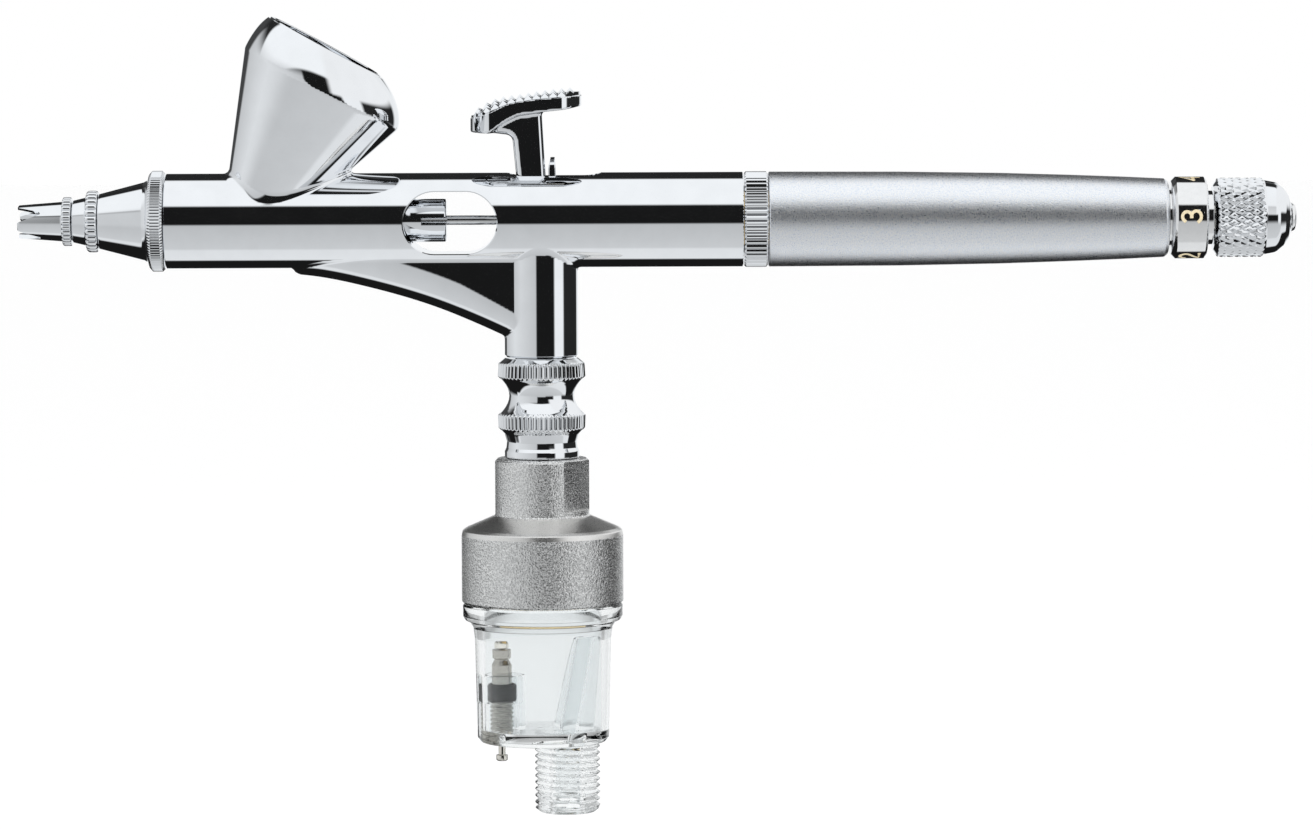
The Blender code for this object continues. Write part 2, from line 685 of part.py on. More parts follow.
def make_rear(finish):
    piece("spring_case",
          turned([(12.0, CASE_BORE_R), (12.0, 4.8), (27.0, 4.8), (27.4, 4.3),
                  (CASE_REAR, 4.3), (CASE_REAR, 1.85), (42.6, 1.85),
                  (42.6, CASE_BORE_R)]),
          finish["brass"])
    piece("tail_ring",
          turned([(27.82, 4.6), (27.82, 6.3), (28.05, 6.59), (30.85, 6.59),
                  (31.05, 6.3), (31.05, 4.6)]),
          finish["chrome"])
    piece("handle",
          turned([(HANDLE_FRONT, 4.9), (HANDLE_FRONT, 6.4), (HANDLE_FRONT + 0.15, 6.5),
                  (49.2, 6.43), (62.9, 6.21), (72.0, 5.93), (79.3, 5.66), (85.2, 5.39),
                  (85.65, 5.25), (HANDLE_REAR, 5.0), (HANDLE_REAR, 4.1), (81.0, 4.1),
                  (81.0, 2.4), (74.0, 2.4), (73.0, 3.7), (60.0, 4.3), (58.5, 4.9)]),
          finish["satin_handle"])
    stop = (STOP_TIP, 0.0, 0.0)
    piece("stop_screw",
          turned([(STOP_TIP, 0), (STOP_TIP, 1.6), (STOP_TIP + 0.3, STOP_R),
                  (74.5, STOP_R), (74.5, STOP_THREAD_R), (80.6, STOP_THREAD_R),
                  (80.6, STOP_R),
                  (97.0, STOP_R), (97.0, 0)], sides=FEW_SIDES),
          finish["nickel"], stop)
    knob = (KNOB_MIDDLE, 0.0, 0.0)
    piece("dial_ring",
          turned([(81.6, 2.02), (81.6, 3.79), (86.26, 3.79), (86.26, 5.1),
                  (86.75, 5.62), (90.6, 5.62), (91.06, 5.1), (91.06, 3.69),
                  (91.95, 3.69), (91.95, 2.02)]),
          finish["chrome"], knob)
    piece("adjust_knob",
          turned([(92.05, 2.02), (92.05, 4.4), (92.6, 5.31), (98.7, 5.31),
                  (99.05, 5.1), (100.7, 4.8), (101.75, 3.95), (102.35, 3.1),
                  (102.6, 2.4), (102.6, 1.2), (97.6, 1.2), (97.6, 2.02)]),
          finish["chrome"], knob)
    piece("end_button",
          turned([(98.0, 0), (98.0, 1.05), (102.82, 1.05), (102.82, 1.98),
                  (103.2, 1.75), (103.45, 1.2), (103.55, 0)], sides=FEW_SIDES),
          finish["chrome"], knob)


# ---------------------------------------------------------------- moisture filter

def flat_cutter(side):
    """One of the pair of spanner flats on the filter's neck."""
    bm = block((FLAT_ACROSS / 2, -8, FLAT_Z[0]), (12, 8, FLAT_Z[1]))
    turn = Matrix.Rotation(FLAT_ANGLE + (math.pi if side else 0.0), 4, "Z")
    bmesh.ops.transform(bm, verts=bm.verts, matrix=turn)
    return bm


def leaning_bar(bottom, top, bottom_r, top_r):
    """A round bar between two points, for the bowl's inlet riser and its bore."""
    sections = []
    for (x, y, z), radius in ((bottom, bottom_r), (top, top_r)):
        ring = []
        for k in range(LEAST_SIDES):
            turn = 2 * math.pi * k / LEAST_SIDES
            ring.append((x + radius * math.cos(turn), y + radius * math.sin(turn), z))
        sections.append(ring)
    return lofted(sections)


def make_filter(finish):
    head = piece("filter_head",
                 turned([(FILTER_TOP, 4.9), (FILTER_TOP, 6.1), (FILTER_TOP - 0.4, 6.47),
                         (-40.5, FILTER_NECK_R), (-42.2, 10.4), (-42.6, 10.9),
                         (-43.1, FILTER_BODY_R), (-52.3, FILTER_BODY_R),
                         (FILTER_BODY_BOTTOM, 10.9), (FILTER_BODY_BOTTOM, 9.95),
                         (-45.3, 9.95), (-44.6, 8.5), (-44.6, 2.0), (-39.6, 2.0),
                         (-39.6, 4.9)], along_z),
                 finish["blasted"])
    cut(head, "spanner_flat_1", flat_cutter(False))
    cut(head, "spanner_flat_2", flat_cutter(True))
    piece("filter_element",
          turned([(-45.9, 2.2), (-45.9, 6.6), (-50.0, 6.6), (-50.0, 2.2)],
                 along_z, FEW_SIDES),
          finish["felt"])
    piece("element_retainer",
          turned([(-43.0, 0), (-43.0, 1.3), (-50.12, 1.3), (-50.12, 6.8), (-51.0, 6.8),
                  (-51.0, 0)], along_z, FEW_SIDES),
          finish["brass"])
    piece("bowl_seal",
          turned([(-45.9, 8.5), (-45.55, 8.9), (-45.9, 9.6), (-46.4, 9.75),
                  (-46.85, 9.6), (-46.85, 8.5)], along_z),
          finish["rubber"])

    bowl = piece("filter_bowl",
                 turned([(-47.0, BOWL_BORE_R), (-47.0, 9.7), (-52.72, 9.7),
                         (-52.72, 10.85), (-52.95, 11.0), (-54.4, 11.0), (-54.8, 10.8),
                         (-55.1, 10.2), (-55.8, 9.64), (-57.5, 9.4), (-71.2, 9.07),
                         (BOWL_BOTTOM, 8.7), (BOWL_BOTTOM, 0), (-70.0, 0),
                         (-70.0, BOWL_BORE_R)], along_z),
                 finish["clear"])
    make_bowl_details(bowl)


def make_bowl_details(bowl):
    """The drain boss, the leaning inlet riser and the threaded inlet stub."""
    inside = turned([(-47.5, 0), (-47.5, BOWL_BORE_R + 0.6), (-71.0, BOWL_BORE_R + 0.6),
                     (-71.0, 0)], along_z)
    boss = tool("drain_boss", turned([(-62.5, 0), (-62.5, 3.2), (-71.0, 3.2), (-71.0, 0)],
                                     along_z, LEAST_SIDES, (DRAIN_X, 0.0)))
    riser = tool("inlet_riser", leaning_bar(RISER_BOTTOM, RISER_TOP, *RISER_R))
    limit = tool("bowl_inside", inside)
    for shape in (boss, riser):
        combine(shape, limit, "INTERSECT")
        combine(bowl, shape, "UNION")
    add(bowl, "inlet_stub",
        turned([(-71.0, 0), (-71.0, STUB_R), (STUB_BOTTOM + 0.7, STUB_R),
                (STUB_BOTTOM, STUB_R - 0.7), (STUB_BOTTOM, 0)],
               along_z, FEW_SIDES, (STUB_X, 0.0)))
    cut(bowl, "inlet_bore",
        turned([(STUB_BOTTOM - 1, 0), (STUB_BOTTOM - 1, INLET_BORE_R),
                (-72.5, INLET_BORE_R), (-71.5, 1.2), (-71.5, 0)],
               along_z, LEAST_SIDES, (STUB_X, 0.0)))
    cut(bowl, "riser_bore", leaning_bar((STUB_X, 0, -72.2), (6.1, 0, -56.0),
                                        RISER_BORE_R, RISER_BORE_R))
    cut(bowl, "drain_bore",
        turned([(-61.0, 0), (-61.0, 2.2), (-66.45, 2.2), (-66.45, 1.8), (-73.0, 1.8),
                (-73.0, 0)], along_z, LEAST_SIDES, (DRAIN_X, 0.0)))


def make_drain(finish):
    centre = (DRAIN_X, 0.0)
    piece("drain_valve_core",
          turned([(-59.0, 0.62), (-59.0, 1.3), (-60.2, 1.3), (-60.45, 1.0),
                  (-61.2, 1.4), (-66.35, 1.4), (-66.35, 1.65), (-71.95, 1.65),
                  (-71.95, 0.68), (-71.45, 0.68), (-71.45, 1.18), (-65.8, 1.18),
                  (-65.8, 0.62)], along_z, LEAST_SIDES, centre),
          finish["nickel"])
    piece("drain_seal",
          turned([(-63.9, 1.52), (-63.9, 1.95), (-64.1, 2.05), (-66.0, 2.05),
                  (-66.2, 1.95), (-66.2, 1.52)], along_z, LEAST_SIDES, centre),
          finish["rubber"])
    piece("drain_pin",
          turned([(-57.6, 0), (-57.6, 0.8), (-58.0, 1.0), (-58.85, 1.0), (-58.85, 0.48),
                  (-70.85, 0.48), (-70.85, 1.02), (-71.3, 1.02), (-71.3, 0.48),
                  (-73.75, 0.48), (-73.75, 0.8), (-74.45, 0.8), (-74.6, 0.6),
                  (-74.6, 0)], along_z, LEAST_SIDES, centre),
          finish["nickel"], (DRAIN_X, 0.0, -74.6))
    piece("drain_spring", coil(DRAIN_SPRING, along_z, centre), finish["steel"])


def main():
    clear_scene()
    finish = make_finishes()
    make_barrel(finish)
    make_cup(finish)
    make_finger_rest(finish)
    make_head(finish)
    make_packing(finish)
    make_air_valve(finish)
    make_main_lever(finish)
    make_auxiliary_lever(finish)
    make_needle(finish)
    make_rear(finish)
    make_filter(finish)
    make_drain(finish)


main()
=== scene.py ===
"""The airbrush's looks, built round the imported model.

Sizes below are in millimetres, in the model's own frame: +X runs back along the needle,
+Z up to the cup, and -Y faces the camera. MM turns them into Blender's metres.
"""

import math

import bmesh
import bpy
import numpy as np
from mathutils import Matrix, Vector


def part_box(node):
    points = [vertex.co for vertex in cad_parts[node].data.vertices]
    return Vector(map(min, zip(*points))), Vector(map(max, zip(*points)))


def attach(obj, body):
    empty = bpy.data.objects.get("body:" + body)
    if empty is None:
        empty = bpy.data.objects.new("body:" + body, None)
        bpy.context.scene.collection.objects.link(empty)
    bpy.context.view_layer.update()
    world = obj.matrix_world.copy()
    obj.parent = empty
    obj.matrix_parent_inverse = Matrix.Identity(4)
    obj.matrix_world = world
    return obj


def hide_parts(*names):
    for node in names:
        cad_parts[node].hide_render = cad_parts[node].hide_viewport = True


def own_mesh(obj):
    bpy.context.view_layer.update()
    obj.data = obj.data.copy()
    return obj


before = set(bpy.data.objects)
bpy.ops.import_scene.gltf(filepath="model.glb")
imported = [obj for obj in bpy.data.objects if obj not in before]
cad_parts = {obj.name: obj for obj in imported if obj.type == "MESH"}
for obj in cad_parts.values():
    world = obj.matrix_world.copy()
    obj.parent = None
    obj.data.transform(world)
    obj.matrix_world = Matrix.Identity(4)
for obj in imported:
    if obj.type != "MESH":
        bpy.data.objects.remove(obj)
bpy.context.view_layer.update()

MM = 0.001
TURN = 2 * math.pi
# Points closer than this are one point.
WELD = 0.001
TINY = 1e-9
# A corner opener than this stays as it is.
STRAIGHT = math.radians(176)
# The most of a straight run that one corner's arc may take.
ARC_SHARE = 0.45


# ---- frame sizes

def node_box(node):
    """A node's lowest and highest corners in millimetres."""
    low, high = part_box(node)
    return np.array(low) / MM, np.array(high) / MM


(BARREL_FRONT, _, _), (BARREL_REAR, _, BARREL_R) = node_box("barrel")
(WEB_NOSE, _, BOSS_BOTTOM), _ = node_box("finger_rest")
BOWL_BOTTOM = node_box("filter_bowl")[0][2]
(DIAL_FRONT, _, _), (DIAL_REAR, _, _) = node_box("dial_ring")


# ---- mesh helpers

def add_object(name, data):
    obj = bpy.data.objects.new(name, data)
    bpy.context.collection.objects.link(obj)
    return obj


def mesh_object(name, verts, faces, sharp=32.0):
    """A smooth-shaded mesh object from points in millimetres."""
    mesh = bpy.data.meshes.new(name)
    mesh.from_pydata((np.asarray(verts, float) * MM).tolist(), [], faces)
    mesh.validate()
    obj = add_object(name, mesh)
    face_outwards(mesh)
    shade(mesh, sharp)
    return obj


def face_outwards(mesh):
    bm = bmesh.new()
    bm.from_mesh(mesh)
    bmesh.ops.recalc_face_normals(bm, faces=bm.faces)
    bm.to_mesh(mesh)
    bm.free()


def shade(mesh, sharp=32.0):
    mesh.shade_smooth()
    mesh.set_sharp_from_angle(angle=math.radians(sharp))


def along_x(a, u, v):
    return np.stack([a, u, v], axis=-1)


def along_z(a, u, v):
    return np.stack([u, v, a], axis=-1)


def along_y(a, u, v):
    return np.stack([u, a, v], axis=-1)


def rounded(points, radius=0.1, closed=False, steps=4):
    """An outline with each corner turned into an arc.

    A point may carry its own radius as a third value.
    """
    points = [tuple(p) if len(p) == 3 else (*p, radius) for p in points]
    count = len(points)
    out = []
    for k, (a, r, bend) in enumerate(points):
        ends = not closed and k in (0, count - 1)
        here = np.array([a, r])
        into = np.array(points[k - 1][:2]) - here
        away = np.array(points[(k + 1) % count][:2]) - here
        len_in, len_away = np.linalg.norm(into), np.linalg.norm(away)
        corner = math.pi
        if not ends and bend > 0 and min(len_in, len_away) > TINY:
            into, away = into / len_in, away / len_away
            corner = math.acos(float(np.clip(into @ away, -1, 1)))
        if corner > STRAIGHT:
            out.append((a, r))
            continue
        reach = min(bend / math.tan(corner / 2), ARC_SHARE * len_in, ARC_SHARE * len_away)
        bend = reach * math.tan(corner / 2)
        middle = here + (into + away) / np.linalg.norm(into + away) * (
            bend / math.sin(corner / 2))
        first = here + into * reach - middle
        last = here + away * reach - middle
        sweep = math.pi - corner
        for t in (s / steps for s in range(steps + 1)):
            arm = math.sin((1 - t) * sweep) * first + math.sin(t * sweep) * last
            out.append(tuple(middle + arm / math.sin(sweep)))
    return out


def finer(points, step):
    """An outline with extra points, no more than a step apart."""
    out = [points[0]]
    for (a0, r0), (a1, r1) in zip(points, points[1:]):
        count = max(1, math.ceil(math.hypot(a1 - a0, r1 - r0) / step))
        for k in range(1, count + 1):
            out.append((a0 + (a1 - a0) * k / count, r0 + (r1 - r0) * k / count))
    return out


def lathe(name, outline, place=along_x, segments=64, centre=(0.0, 0.0), relief=None,
          sharp=32.0):
    """A turned solid. relief(a, r, theta) adds to the radius for knurls and threads.

    An outline that starts and ends on the axis is solid, and any other is a tube.
    """
    theta = np.arange(segments) * TURN / segments
    verts = []
    rings = []
    for a, r in outline:
        solo = r <= TINY
        turn = theta[:1] if solo else theta
        along = np.full(len(turn), float(a))
        radius = np.full(len(turn), 0.0 if solo else r)
        if relief is not None and not solo:
            radius = radius + relief(along, radius, turn)
        rings.append(list(range(len(verts), len(verts) + len(turn))))
        verts.extend(place(along, centre[0] + radius * np.cos(turn),
                           centre[1] + radius * np.sin(turn)))
    if outline[0][1] > TINY:
        rings.append(rings[0])
    return mesh_object(name, np.array(verts), bridge(rings), sharp)


def bridge(rings):
    """Faces between rings of point numbers, where a ring may be a single point."""
    faces = []
    for first, second in zip(rings, rings[1:]):
        count = max(len(first), len(second))
        for k in range(count if count > 1 else 0):
            after = (k + 1) % count
            if len(first) == 1:
                faces.append((first[0], second[k], second[after]))
            elif len(second) == 1:
                faces.append((first[k], second[0], first[after]))
            else:
                faces.append((first[k], second[k], second[after], first[after]))
    return faces


def loft(name, sections, sharp=32.0):
    """A solid through rings of points, with flat end faces."""
    count = len(sections[0])
    rings = [range(k * count, (k + 1) * count) for k in range(len(sections))]
    verts = np.array([p for section in sections for p in section], float)
    return mesh_object(name, verts, bridge(rings) + [tuple(rings[0]), tuple(rings[-1])],
                       sharp)


def upright(u, v, w):
    return u, v, w


def lengthways(u, v, w):
    return w, v, u


def prism(name, outline, low, high, place=upright):
    """A flat outline pushed from low to high; place(u, v, w) gives the point."""
    return loft(name, [[place(u, v, w) for u, v in outline] for w in (low, high)])


def circle(x, y, z, radius, count):
    """Points of a level circle."""
    return [(x + radius * math.cos(TURN * k / count), y + radius * math.sin(TURN * k / count),
             z) for k in range(count)]


def weld(mesh):
    """Joins very close points, so that the next boolean meets a closed mesh."""
    work = bmesh.new()
    work.from_mesh(mesh)
    bmesh.ops.remove_doubles(work, verts=work.verts[:], dist=WELD * MM)
    bmesh.ops.dissolve_degenerate(work, edges=work.edges[:], dist=WELD * MM)
    work.to_mesh(mesh)
    work.free()


def combine(target, others, operation, sharp=32.0, tangled=False):
    """Boolean of target with other objects, applied, and the others removed."""
    for other in others:
        change = target.modifiers.new("combine", "BOOLEAN")
        change.use_self = tangled
        change.operation = operation
        change.solver = "EXACT"
        change.object = other
    evaluated = target.evaluated_get(bpy.context.evaluated_depsgraph_get())
    made = bpy.data.meshes.new_from_object(evaluated)
    target.modifiers.clear()
    target.data = made
    for other in others:
        bpy.data.objects.remove(other, do_unlink=True)
    weld(made)
    shade(made, sharp)
    return target


def cut(target, *others):
    return combine(target, others, "DIFFERENCE")


def unite(target, *others):
    return combine(target, others, "UNION")


def smoothstep(t):
    t = np.clip(t, 0, 1)
    return t * t * (3 - 2 * t)


def within(a, low, high, fade):
    """1 between low and high, fading to 0 over a length outside them."""
    return smoothstep((a - low) / fade + 1) * smoothstep((high - a) / fade + 1)


# ---- distance fields

SETTLE_ROUNDS = 5
LONGEST_MOVE = 0.2
# A face whose normal agrees this well with the field's slope is on its surface.
SAME_WAY = 0.8


def unite_round(a, b, radius):
    """Union of two distance fields with a circular fillet between them."""
    u = np.maximum(radius - a, 0)
    v = np.maximum(radius - b, 0)
    return np.maximum(radius, np.minimum(a, b)) - np.sqrt(u * u + v * v)


def meet_round(a, b, radius):
    """Intersection of two distance fields with a rounded edge."""
    return -unite_round(-a, -b, radius)


def lattice_surface(field, low, high, step):
    """The zero surface of field as points and quads: one point in each crossed cell."""
    axes = [np.arange(lo, hi + step, step) for lo, hi in zip(low, high)]
    shape = [len(axis) for axis in axes]
    values = np.empty(shape, np.float32)
    across = np.stack(np.meshgrid(axes[1], axes[2], indexing="ij"), -1).reshape(-1, 2)
    for k, x in enumerate(axes[0]):
        points = np.concatenate([np.full((len(across), 1), x), across], axis=1)
        values[k] = field(points).reshape(shape[1], shape[2])
    inside = values < 0
    cells = [n - 1 for n in shape]
    corner_sum = np.zeros(cells, np.int8)
    for i, j, k in np.ndindex(2, 2, 2):
        corner_sum += inside[i:cells[0] + i, j:cells[1] + j, k:cells[2] + k]
    active = (corner_sum > 0) & (corner_sum < 8)
    index = np.full(cells, -1, np.int64)
    where = np.argwhere(active)
    index[active] = np.arange(len(where))
    points = np.stack([axes[d][where[:, d]] + step / 2 for d in range(3)], axis=1)
    quads = []
    for d in range(3):
        rolled = np.moveaxis(inside, d, 0)
        cell_index = np.moveaxis(index, d, 0)
        first = rolled[:-1, 1:-1, 1:-1]
        second = rolled[1:, 1:-1, 1:-1]
        edge = np.argwhere(first != second)
        i, j, k = edge[:, 0], edge[:, 1] + 1, edge[:, 2] + 1
        ring = np.stack([cell_index[i, j - 1, k - 1], cell_index[i, j, k - 1],
                         cell_index[i, j, k], cell_index[i, j - 1, k]], axis=1)
        flipped = first[edge[:, 0], edge[:, 1], edge[:, 2]]
        if d == 1:
            flipped = ~flipped
        ring[~flipped] = ring[~flipped][:, ::-1]
        quads.append(ring)
    quads = np.concatenate(quads)
    return settle(field, points, SETTLE_ROUNDS), quads


def gradient(field, points, reach=0.01):
    out = np.empty_like(points)
    for d in range(3):
        push = np.zeros(3)
        push[d] = reach
        out[:, d] = (field(points + push) - field(points - push)) / (2 * reach)
    return out


def settle(field, points, rounds):
    """Moves points onto the field's zero surface, a short way at a time."""
    for _ in range(rounds):
        slope = gradient(field, points)
        size = np.maximum((slope * slope).sum(1), 0.2)
        move = slope * (field(points) / size)[:, None]
        length = np.linalg.norm(move, axis=1, keepdims=True)
        move *= np.minimum(1, LONGEST_MOVE / np.maximum(length, TINY))
        points = points - move
    return points


def field_object(name, field, low, high, step):
    points, quads = lattice_surface(field, low, high, step)
    return mesh_object(name, points, quads.tolist(), 60.0)


def read(items, name, width=1, kind=float):
    """One property of every element of a mesh."""
    out = np.empty(len(items) * width, kind)
    items.foreach_get(name, out)
    return out if width == 1 else out.reshape(-1, width)


def unit_slope(field, points):
    slope = gradient(field, points)
    return slope / np.maximum(np.linalg.norm(slope, axis=1, keepdims=True), TINY)


def set_field_normals(obj, field, tolerance=0.02, sharp=32.0):
    """Exact normals where a mesh lies on the field, so that chrome shows no facets."""
    mesh = obj.data
    centres = read(mesh.polygons, "center", 3) / MM
    corners = read(mesh.vertices, "co", 3) / MM
    on_corner = np.abs(field(corners)) < tolerance
    loop_vertex = read(mesh.loops, "vertex_index", 1, int)
    loop_edge = read(mesh.loops, "edge_index", 1, int)
    loop_face = np.repeat(np.arange(len(mesh.polygons)),
                          read(mesh.polygons, "loop_total", 1, int))
    outer = np.ones(len(mesh.polygons), bool)
    np.logical_and.at(outer, loop_face, on_corner[loop_vertex])
    along = (read(mesh.polygons, "normal", 3) * unit_slope(field, centres)).sum(1)
    outer &= (np.abs(along) > SAME_WAY) & (np.abs(field(centres)) < 3 * tolerance)
    all_outer = np.ones(len(mesh.edges), bool)
    any_outer = np.zeros(len(mesh.edges), bool)
    np.logical_and.at(all_outer, loop_edge, outer[loop_face])
    np.logical_or.at(any_outer, loop_edge, outer[loop_face])
    shade(mesh, sharp)
    attribute = mesh.attributes.get("sharp_edge")
    if attribute is None:
        attribute = mesh.attributes.new("sharp_edge", "BOOLEAN", "EDGE")
    current = read(attribute.data, "value", 1, bool)
    attribute.data.foreach_set("value", (current & ~all_outer) | (all_outer != any_outer))
    mesh.update()
    normals = read(mesh.corner_normals, "vector", 3, np.float32)
    take = outer[loop_face]
    normals[take] = unit_slope(field, corners)[loop_vertex[take]]
    mesh.normals_split_custom_set(normals.tolist())


# ---- materials

def node_material(name, colour, roughness, metallic):
    made = bpy.data.materials.new(name)
    made.use_nodes = True
    shader = made.node_tree.nodes["Principled BSDF"]
    shader.inputs["Base Color"].default_value = (*colour, 1.0)
    shader.inputs["Roughness"].default_value = roughness
    shader.inputs["Metallic"].default_value = metallic
    return made, shader


def add_node(tree, kind, **values):
    """A shading node; each value is a constant or another node's output."""
    node = tree.nodes.new("ShaderNode" + kind)
    for name, value in values.items():
        set_socket(tree, node.inputs[name.replace("_", " ")], value)
    return node


def set_socket(tree, socket, value):
    if isinstance(value, bpy.types.NodeSocket):
        tree.links.new(value, socket)
    else:
        socket.default_value = value


def add_noise(tree, scale_mm, detail=3.0, stretch=(1, 1, 1)):
    """A noise texture with features about scale_mm across."""
    where = add_node(tree, "TexCoord").outputs["Object"]
    scale = [s / (scale_mm * MM) for s in stretch]
    where = add_node(tree, "Mapping", Vector=where, Scale=scale).outputs["Vector"]
    return add_node(tree, "TexNoise", Vector=where, Scale=1.0, Detail=detail).outputs["Fac"]


def add_range(tree, value, low, high, clamp=(0.3, 0.7)):
    """A texture's value stretched between two numbers."""
    return add_node(tree, "MapRange", Value=value, From_Min=clamp[0], From_Max=clamp[1],
                    To_Min=low, To_Max=high).outputs["Result"]


def mix_colours(tree, factor, *colours):
    """Two colours mixed by a factor."""
    node = tree.nodes.new("ShaderNodeMix")
    node.data_type = "RGBA"
    set_socket(tree, node.inputs["Factor"], factor)
    for socket, colour in zip([s for s in node.inputs if s.type == "RGBA"], colours):
        if isinstance(colour, (tuple, list)):
            colour = (*colour, 1.0)
        set_socket(tree, socket, colour)
    return next(s for s in node.outputs if s.type == "RGBA")


def grained(name, colour, roughness, metallic, noise, polish=None, tint=None, bump=None):
    """A material with one noise texture in its roughness, its colour and its bump.

    noise holds what add_noise takes, polish what add_range takes, tint two colours and
    the range's clamp, and bump a height in millimetres and a strength.
    """
    made, shader = node_material(name, colour, roughness, metallic)
    tree = made.node_tree
    grain = add_noise(tree, *noise)
    if polish:
        set_socket(tree, shader.inputs["Roughness"], add_range(tree, grain, *polish))
    if tint:
        factor = add_range(tree, grain, 0.0, 1.0, *tint[2:])
        set_socket(tree, shader.inputs["Base Color"], mix_colours(tree, factor, *tint[:2]))
    if bump:
        node = add_node(tree, "Bump", Height=grain, Strength=bump[1], Distance=bump[0] * MM)
        set_socket(tree, shader.inputs["Normal"], node.outputs["Normal"])
    return made


def metal(name, colour, roughness, spread=0.02, grain_mm=1.5, bump_mm=0.0,
          stretch=(1, 1, 1)):
    """A metal whose polish and tone vary slightly over its surface."""
    return grained(name, colour, roughness, 1.0, (grain_mm, 3.0, stretch),
                   (roughness - spread, roughness + spread),
                   ([c * 0.96 for c in colour], colour), bump_mm and (bump_mm, 1.0))


def matt(name, colour, roughness, grain_mm, bump_mm):
    """A matt, non-metal material: rubber, felt, filling or plastic."""
    return grained(name, colour, roughness, 0.0, (grain_mm, 4.0), None,
                   ([c * 0.8 for c in colour], colour), (bump_mm, 1.0))


def make_clear():
    """Clear moulded plastic, slightly rippled."""
    made = grained("clear_polycarbonate", (0.89, 0.91, 0.915), 0.03, 0.0, (4.0, 1.0),
                   (0.02, 0.045), None, (0.02, 0.4))
    shader = made.node_tree.nodes["Principled BSDF"]
    shader.inputs["Transmission Weight"].default_value = 1.0
    shader.inputs["IOR"].default_value = CLEAR_IOR
    return made


# Below polycarbonate's own, so that the bowl bends less of the dark studio into view.
CLEAR_IOR = 1.34

CHROME = metal("polished_chrome", (0.91, 0.925, 0.945), 0.035, 0.012, 3.0)
BRIGHT = metal("bright_chrome", (0.90, 0.90, 0.90), 0.07, 0.02, 0.8)
NICKEL = metal("nickel_plate", (0.80, 0.77, 0.71), 0.12, 0.04, 0.5, 0.003)
STEEL = metal("ground_steel", (0.70, 0.70, 0.70), 0.18, 0.05, 0.4, 0.002, (0.1, 1, 1))
SPRING = metal("spring_wire", (0.62, 0.62, 0.63), 0.22, 0.05, 0.4, 0.002)
BRASS = metal("brass", (0.82, 0.62, 0.30), 0.2, 0.06, 0.5, 0.003)
# Satin chrome has a soft sheen with a fine sparkle, and the blasted plating a coarse one.
SATIN = grained("satin_chrome", (0.84, 0.86, 0.89), 0.3, 1.0, (0.15, 2.0), (0.25, 0.4),
                ((0.80, 0.85, 0.93), (1.0, 1.0, 1.0), (0.36, 0.6)), (0.045, 0.8))
BLASTED = grained("blasted_plating", (0.75, 0.75, 0.74), 0.33, 1.0, (0.24, 1.5), (0.22, 0.3),
                  ((0.64, 0.64, 0.635), (1.0, 1.0, 0.99), (0.4, 0.66)), (0.13, 1.0))
CONE = metal("satin_cone", (0.88, 0.87, 0.85), 0.3, 0.04, 0.12, 0.006)
GOLD = matt("gold_fill", (0.86, 0.74, 0.50), 0.45, 0.2, 0.003)
DRAIN_METAL = metal("drain_nickel", (0.50, 0.48, 0.44), 0.2, 0.05)
RUBBER = matt("black_rubber", (0.02, 0.02, 0.021), 0.55, 0.3, 0.01)
PTFE = matt("fluoropolymer", (0.86, 0.86, 0.84), 0.45, 0.6, 0.005)
FELT = matt("felt", (0.72, 0.70, 0.64), 0.9, 0.2, 0.05)
CLEAR = make_clear()

SLOT_MATERIALS = {
    "chrome": CHROME, "satin_handle": SATIN, "blasted_aluminium": BLASTED, "nickel": NICKEL,
    "steel": STEEL, "brass": BRASS, "rubber": RUBBER, "fluoropolymer": PTFE, "felt": FELT,
    "clear_plastic": CLEAR}


def finish_piece(obj, body, slot, *nodes, made=None):
    """Gives a new piece its body and its material, the slot's own unless made is given, and
    hides the nodes it stands for.
    """
    obj.data.materials.clear()
    obj.data.materials.append(made or SLOT_MATERIALS[slot])
    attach(obj, body)
    if nodes:
        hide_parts(*nodes)
    return obj


def turned(node, outline, body, slot, step=0.0, place=along_x, segments=64, name=None,
           made=None, **options):
    """A turned piece that stands for one node, its outline cut into steps."""
    piece = lathe((name or node) + "_shell", finer(outline, step) if step else outline,
                  place, segments, **options)
    return finish_piece(piece, body, slot, node, made=made)


# ---- barrel, cup and rest

CUP_APEX = (-44.87, -9.25)
CUP_LEAN = math.radians(28.7)
CUP_HALF_ANGLE = math.radians(20.8)
CUP_WALL = 0.7
# The distance field runs past each flat end, and a cutter then trims it.
END_SPARE = 0.5
# Axial distance of the cup's inner floor.
CUP_FLOOR = 14.0
# The cup's axial distances with each circle's shift and radius, from the cone's last one.
CUP_RIM = ((31.2, 0.0, 11.85), (32.6, -0.3, 11.55), (33.8, -0.68, 11.08),
           (35.0, -1.23, 10.26), (35.9, -1.75, 9.45), (36.59, -2.24, 8.58))
EDGE_BEVEL = 0.14
WINDOW_X = (-12.31 - 6.38, -12.31 + 6.38)
WINDOW_Z = -0.2
WINDOW_R = 4.24
BORE_R = 5.0
NEEDLE_BORE_R = 1.1
PACKING_R = 3.15
BOSS_R = 5.05
WEB_REAR = 0.0
WEB_HALF_WIDTH = 3.9
WEB_FILLET = 0.25
BOSS_FILLET = 0.35
CUP_FILLET = 0.75
# The size of the grid that a distance field is turned into a mesh on.
BODY_CELL = 0.32
LEVER_CELL = 0.2


def cup_frame(points):
    """Distance along the cup's axis, and the forward and sideways distances from it."""
    x = points[:, 0] - CUP_APEX[0]
    z = points[:, 2] - CUP_APEX[1]
    along = x * math.sin(CUP_LEAN) + z * math.cos(CUP_LEAN)
    forward = x * math.cos(CUP_LEAN) - z * math.sin(CUP_LEAN)
    return along, forward, points[:, 1]


